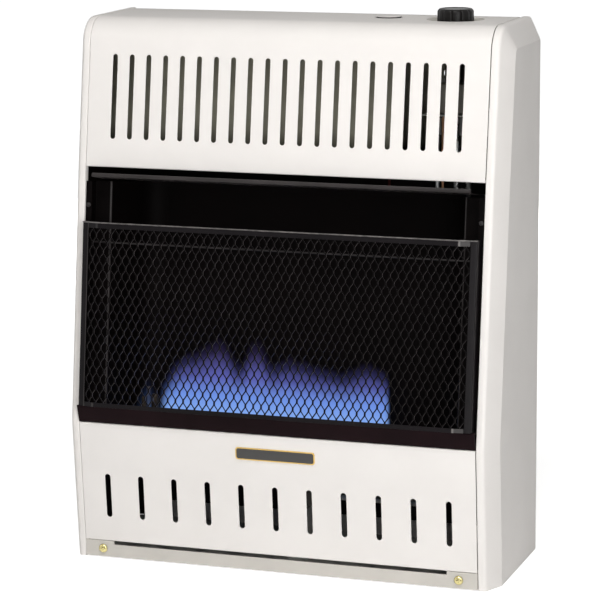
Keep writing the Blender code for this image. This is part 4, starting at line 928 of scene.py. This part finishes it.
net = bmesh.new()
rows = int((window_top - window_low) / (PITCH_Z / 2)) + 2
columns = int(2 * WINDOW_HALF / PITCH_X) + 2
middle = (window_top + window_low) / 2
low_z, top_z = GUARD_LOW + NET_TUCK, GUARD_TOP - NET_TUCK
for row in range(-rows // 2 - 1, rows // 2 + 2):
    for column in range(-columns // 2 - 1, columns // 2 + 2):
        x = (column + (row % 2) / 2) * PITCH_X
        z = middle + row * PITCH_Z / 2
        if abs(x) > NET_HALF or not low_z - BOND < z < top_z + BOND:
            continue
        bottom, top = max(z - BOND / 2, low_z), min(z + BOND / 2, top_z)
        if top > bottom:
            ribbon(net, (x, bottom), (x, top), STRAND * 1.6, NET_DEPTH * 1.7)
        for side in (-1, 1):
            far_x, far_z = x + side * PITCH_X / 2, z + PITCH_Z / 2 - BOND / 2
            if abs(far_x) < NET_HALF and z + BOND / 2 < top_z and far_z > low_z:
                start = (x, z + BOND / 2 - OVERLAP)
                end = (far_x, min(far_z + OVERLAP, top_z))
                ribbon(net, start, end, STRAND, NET_DEPTH, SLANT * side)
bmesh.ops.recalc_face_normals(net, faces=net.faces)
guard_net = placed("guard_net", net, NET_BLACK, LEAN_FRAME, ("guard_mesh",), sharp=30)
# The second finish is a painted highlight on the strands' right faces.
guard_net.data.materials.append(NET_STRAND_HIGHLIGHT)
print("net:", len(guard_net.data.polygons), "faces")

# %% [markdown]
# ## Screws
# The two screws in the lower lip are brass plated with a cross recess. Their heads are turned, and the
# recess is punched with two crossed wedges. The same head, smaller and black, holds the firebox.


# %% A pan-head screw with a cross recess
def screw_head(name, frame_matrix, radius, height, coat, nodes=()):
    """A low dome with a cross recess and a short shank. It looks along +Z of its own frame."""
    dome = ((0.45, 0.94), (0.8, 0.62), (0.97, 0.2), (1, 0))
    shank = ((0.45, 0), (0.45, -1.5))
    line = [(0.0001, height), *((radius * r, height * z) for r, z in dome + shank), (0.0001, -height * 1.5)]
    made = placed(name, turned(line, 40), coat, frame_matrix, nodes, sharp=50)
    recess = bmesh.new()
    for turn_angle in (0, pi / 2):
        bar = bmesh.ops.create_cube(recess, size=1)["verts"]
        bmesh.ops.scale(recess, vec=(radius * 1.25, radius * 0.36, height * 1.3), verts=bar)
        bmesh.ops.rotate(recess, matrix=Matrix.Rotation(turn_angle + radians(20), 3, "Z"), verts=bar)
        bmesh.ops.translate(recess, vec=(0, 0, height), verts=bar)
        for vert in bar:
            if vert.co.z < height:
                vert.co.x *= 0.55
                vert.co.y *= 0.55
    punched(made, recess, frame_matrix)
    made.data.set_sharp_from_angle(angle=radians(40))
    return made


FACE_FRONT = Matrix.Rotation(pi / 2, 4, "X")
STRIP_SCREW_Z = 0.2327
for label, side in (("left", -1), ("right", 1)):
    place = (side * 0.1993, front_y(0.0191) - GAP, 0.0105)
    at = WALL_FRAME @ Matrix.Translation(place) @ FACE_FRONT
    screw_head(f"lip_screw_{label}", at, 0.0049, 0.0024, SCREW_BRASS, (f"case_screw_{label}",))
    place = (side * (PANEL_HALF - 0.0033), 0.0027, STRIP_SCREW_Z)
    at = LEAN_FRAME @ Matrix.Translation(place) @ FACE_FRONT
    nodes = (f"liner_screw_{label}",)
    # The small black screws take a lighter black: a painted highlight on their domes.
    screw_head(f"strip_screw_{label}", at, 0.0026, 0.0014, EDGE_HIGHLIGHT_BLACK, nodes)
print("screws placed")

# %% [markdown]
# ## The plate under the guard
# A small dark plate with a gold rim sits under the guard. It is stamped from thin metal: a raised dark
# field inside a rounded border. Two shallow plates with round corners, one on the other, give that step,
# and a bevel as wide as a third of their thickness makes the soft edge that catches the light.

# %% Plate
PLATE_W, PLATE_H, PLATE_Z = 0.0880, 0.0136, 0.1308


def rounded_plate(name, width, height, low, high, radius, coat, slot):
    """A flat plate with round corners and a soft front edge, facing -Y in the lower panel's own frame."""
    loop = []
    for side, end, start in ((-1, -1, pi), (1, -1, 1.5 * pi), (1, 1, 0), (-1, 1, 0.5 * pi)):
        x, z = side * (width / 2 - radius), end * (height / 2 - radius)
        for step in range(7):
            angle = start + pi / 2 * step / 6
            loop.append((x + radius * cos(angle), z + radius * sin(angle)))
    bm = bmesh.new()
    prism(bm, loop, high - low)
    bmesh.ops.recalc_face_normals(bm, faces=bm.faces)
    angle_frame = Matrix.Translation((0.002, front_y(PLATE_Z) - (low + high) / 2, PLATE_Z))
    made = placed(name, bm, coat, WALL_FRAME @ angle_frame @ Matrix.Rotation(LEAN_LOWER, 4, "X"))
    soften = made.modifiers.new("soft_edge", "BEVEL")
    soften.width, soften.segments, soften.harden_normals = (high - low) * 0.35, 3, True
    soften.limit_method = "ANGLE"
    return made


BORDER = 0.0024
rounded_plate("plate_rim", PLATE_W, PLATE_H, 0.00005, 0.0010, 0.0030, GOLD, "brass")
field_size = (PLATE_W - BORDER, PLATE_H - BORDER)
rounded_plate("plate_field", *field_size, 0.0006, 0.0013, 0.0022, BADGE_BLACK, "black_heat_paint")
print("plate", PLATE_W * 1000, "mm wide")

# %% [markdown]
# ## Flames
# The burner's flames are light, not matter. Each row of ports makes one thin upright sheet that glows and
# is mostly transparent: pale blue low down, violet higher up, and fading to nothing at its edge. The
# sheet's own grid carries a UV map that says how far along the burner a point is and how near to the
# flames' edge, so the material only has to turn those two numbers into opacity. The outline is a low band
# with a few taller tongues.

# %% Where the flames stand
FLAME_LEFT, FLAME_RIGHT, FLAME_FOOT, FLAME_TALL = -0.152, 0.1065, 0.1485, 0.082
FLAME_BAND, FLAME_EDGE = 0.060, 0.046
TONGUES = (  # middle, width, height
    (-0.1040, 0.026, 0.022),
    (-0.0790, 0.013, 0.022),
    (-0.0422, 0.013, 0.032),
    (-0.0070, 0.018, 0.013),
    (0.0250, 0.022, 0.010),
    (0.0860, 0.022, 0.016),
)


def flame_height(x):
    """Height of the flames' edge above the burner: a low band that swells into each tongue."""
    band = FLAME_BAND * min(0.55 + (x - FLAME_LEFT) / 0.045, 1, 0.86 + (FLAME_RIGHT - x) / 0.020)
    return band + sum(tall * exp(-(((x - at) / wide) ** 2)) for at, wide, tall in TONGUES)


print("tallest flame", round(1000 * max(flame_height(n / 1000) for n in range(-150, 105))), "mm")


# %% Flame material
BLUES = (
    (0.0, (0.28, 0.49, 0.97)),
    (0.32, (0.17, 0.31, 0.83)),
    (0.58, (0.11, 0.125, 0.45)),
    (0.90, (0.065, 0.05, 0.17)),
)
FADE = ((0.08, 1), (0.46, 0.46), (0.74, 0.10), (0.97, 0))
ENDS = ((0.0, 0), (0.022, 1), (0.985, 1), (1.0, 0))


def flame_finish(name, thinnest, thickest):
    """Glowing blue gas: coloured by its height, and as solid as the streaks and its edge allow."""
    made = bpy.data.materials.new(name)
    made.use_nodes = True
    tree = made.node_tree
    where = added(tree, "TexCoord").outputs
    height = added(tree, "SeparateXYZ", {0: where["Object"]}).outputs["Z"]
    scale = added(tree, "MapRange", {"Value": height}, From_Min=FLAME_FOOT, From_Max=FLAME_FOOT + FLAME_TALL)
    colour = graded(tree, scale.outputs[0], BLUES, "LINEAR")
    stretch = added(tree, "Mapping", {"Vector": where["UV"]}, Scale=(34, 0.8, 1))
    streak = added(tree, "TexNoise", {"Vector": stretch.outputs[0]}, Scale=1.0, Detail=2).outputs["Fac"]
    lift = added(tree, "Math", {0: streak})
    lift.operation = "MULTIPLY_ADD"
    lift.inputs[1].default_value, lift.inputs[2].default_value = 0.24, -0.12
    share = added(tree, "SeparateXYZ", {0: where["UV"]}).outputs
    ragged = maths(tree, "ADD", share["Y"], lift.outputs[0])
    fade = graded(tree, ragged, [(place, (left,) * 3) for place, left in FADE])
    ends = graded(tree, share["X"], [(place, (left,) * 3) for place, left in ENDS])
    thin = added(tree, "MapRange", {"Value": streak}, From_Min=0.25, From_Max=0.7)
    fed(tree, thin, To_Min=thinnest, To_Max=thickest)
    solid = maths(tree, "MULTIPLY", maths(tree, "MULTIPLY", fade, ends), thin.outputs[0])
    shader = tree.nodes["Principled BSDF"]
    fed(tree, shader, {"Emission Color": colour, "Alpha": solid}, Emission_Strength=1)
    fed(tree, shader, Base_Color=(0, 0, 0, 1), Specular_IOR_Level=0, Roughness=1)
    return made


FLAME = flame_finish("gas_flame", 0.44, 0.74)
PILOT_FLAME = flame_finish("pilot_gas_flame", 0.05, 0.22)
print("flame material ready")


# %% Flame sheets
def flame_sheet(name, y, seed, left, right, height, coat=FLAME, columns=130, rows=14):
    """One upright sheet of flame. Its UV map says how far along a point is and how near to the top edge."""
    bm = bmesh.new()
    chart = bm.loops.layers.uv.new("flame")
    grid = []
    for i in range(columns + 1):
        x = left + (right - left) * i / columns
        tall = height(x) * (1 + 0.10 * noise.noise(Vector((x * 70, seed * 3.7, 0))))
        sway = 0.0015 * noise.noise(Vector((x * 60, seed * 7.7, 0)))
        rise = [j / rows for j in range(rows + 1)]
        grid.append([bm.verts.new((x, y + sway * share, FLAME_FOOT + tall * share)) for share in rise])
    for i in range(columns):
        for j in range(rows):
            face = bm.faces.new((grid[i][j], grid[i + 1][j], grid[i + 1][j + 1], grid[i][j + 1]))
            for loop, (di, dj) in zip(face.loops, ((0, 0), (1, 0), (1, 1), (0, 1))):
                below = (grid[i + di][rows].co.z - grid[i + di][j + dj].co.z) / FLAME_EDGE
                loop[chart].uv = ((i + di) / columns, max(1 - below, 0))
    return placed(name, bm, coat)


def pilot_height(x):
    """A single low tongue over the pilot burner."""
    return 0.046 * exp(-(((x + 0.166) / 0.013) ** 2))


flame_sheet("pilot_flame", -0.119, 5, -0.180, -0.151, pilot_height, PILOT_FLAME, 24)
for number, y in enumerate((-0.121, -0.115, -0.109)):
    flame_sheet(f"flame_row_{number + 1}", y, number + 1, FLAME_LEFT, FLAME_RIGHT, flame_height)
print("flames from", FLAME_LEFT, "to", FLAME_RIGHT)

# %% [markdown]
# ## The floor
# A heater on a wall has nothing under it, but the picture stands it on white. A large pale sheet catches a
# soft shadow. For the camera and for reflections it also glows: a little near the heater, where the lamps
# do the rest and a shadow must stay, and fully further out, where no lamp reaches.

# %% Floor
GLOW_NEAR, GLOW_FAR = 0.74, 1.0
floor_bm = bmesh.new()
bmesh.ops.create_grid(floor_bm, x_segments=1, y_segments=1, size=9)
floor_mesh = bpy.data.meshes.new("floor")
floor_bm.to_mesh(floor_mesh)
floor_bm.free()
floor = bpy.data.objects.new("floor", floor_mesh)
floor.location = (0, 0, -0.0005)
bpy.context.scene.collection.objects.link(floor)
paper = bpy.data.materials.new("white_paper")
paper.use_nodes = True
tree = paper.node_tree
shader = fed(tree, tree.nodes["Principled BSDF"], Base_Color=(0.93, 0.93, 0.93, 1), Roughness=0.9)
fed(tree, shader, Specular_IOR_Level=0.1)
reach = added(tree, "VectorMath", {0: added(tree, "TexCoord").outputs["Object"]})
reach.operation = "LENGTH"
rise = added(tree, "MapRange", {"Value": reach.outputs["Value"]}, From_Min=0.8, From_Max=1.9)
fed(tree, rise, To_Min=GLOW_NEAR, To_Max=GLOW_FAR)
glow = added(tree, "Emission", {"Strength": rise.outputs[0]}, Color=(1, 1, 1, 1))
both = added(tree, "AddShader", {0: shader.outputs[0], 1: glow.outputs[0]})
blend = added(tree, "MixShader", {0: seen_or_mirrored(tree), 1: shader.outputs[0], 2: both.outputs[0]})
fed(tree, tree.nodes["Material Output"], {"Surface": blend.outputs[0]})
floor_mesh.materials.append(paper)
print("floor laid")

# %% [markdown]
# The dressed heater must fill the same box as its solids. The last line writes down the solids' box.

# %% Sizes and finish
print("solids:", [round(v, 4) for v in cad_box[1] - cad_box[0]])
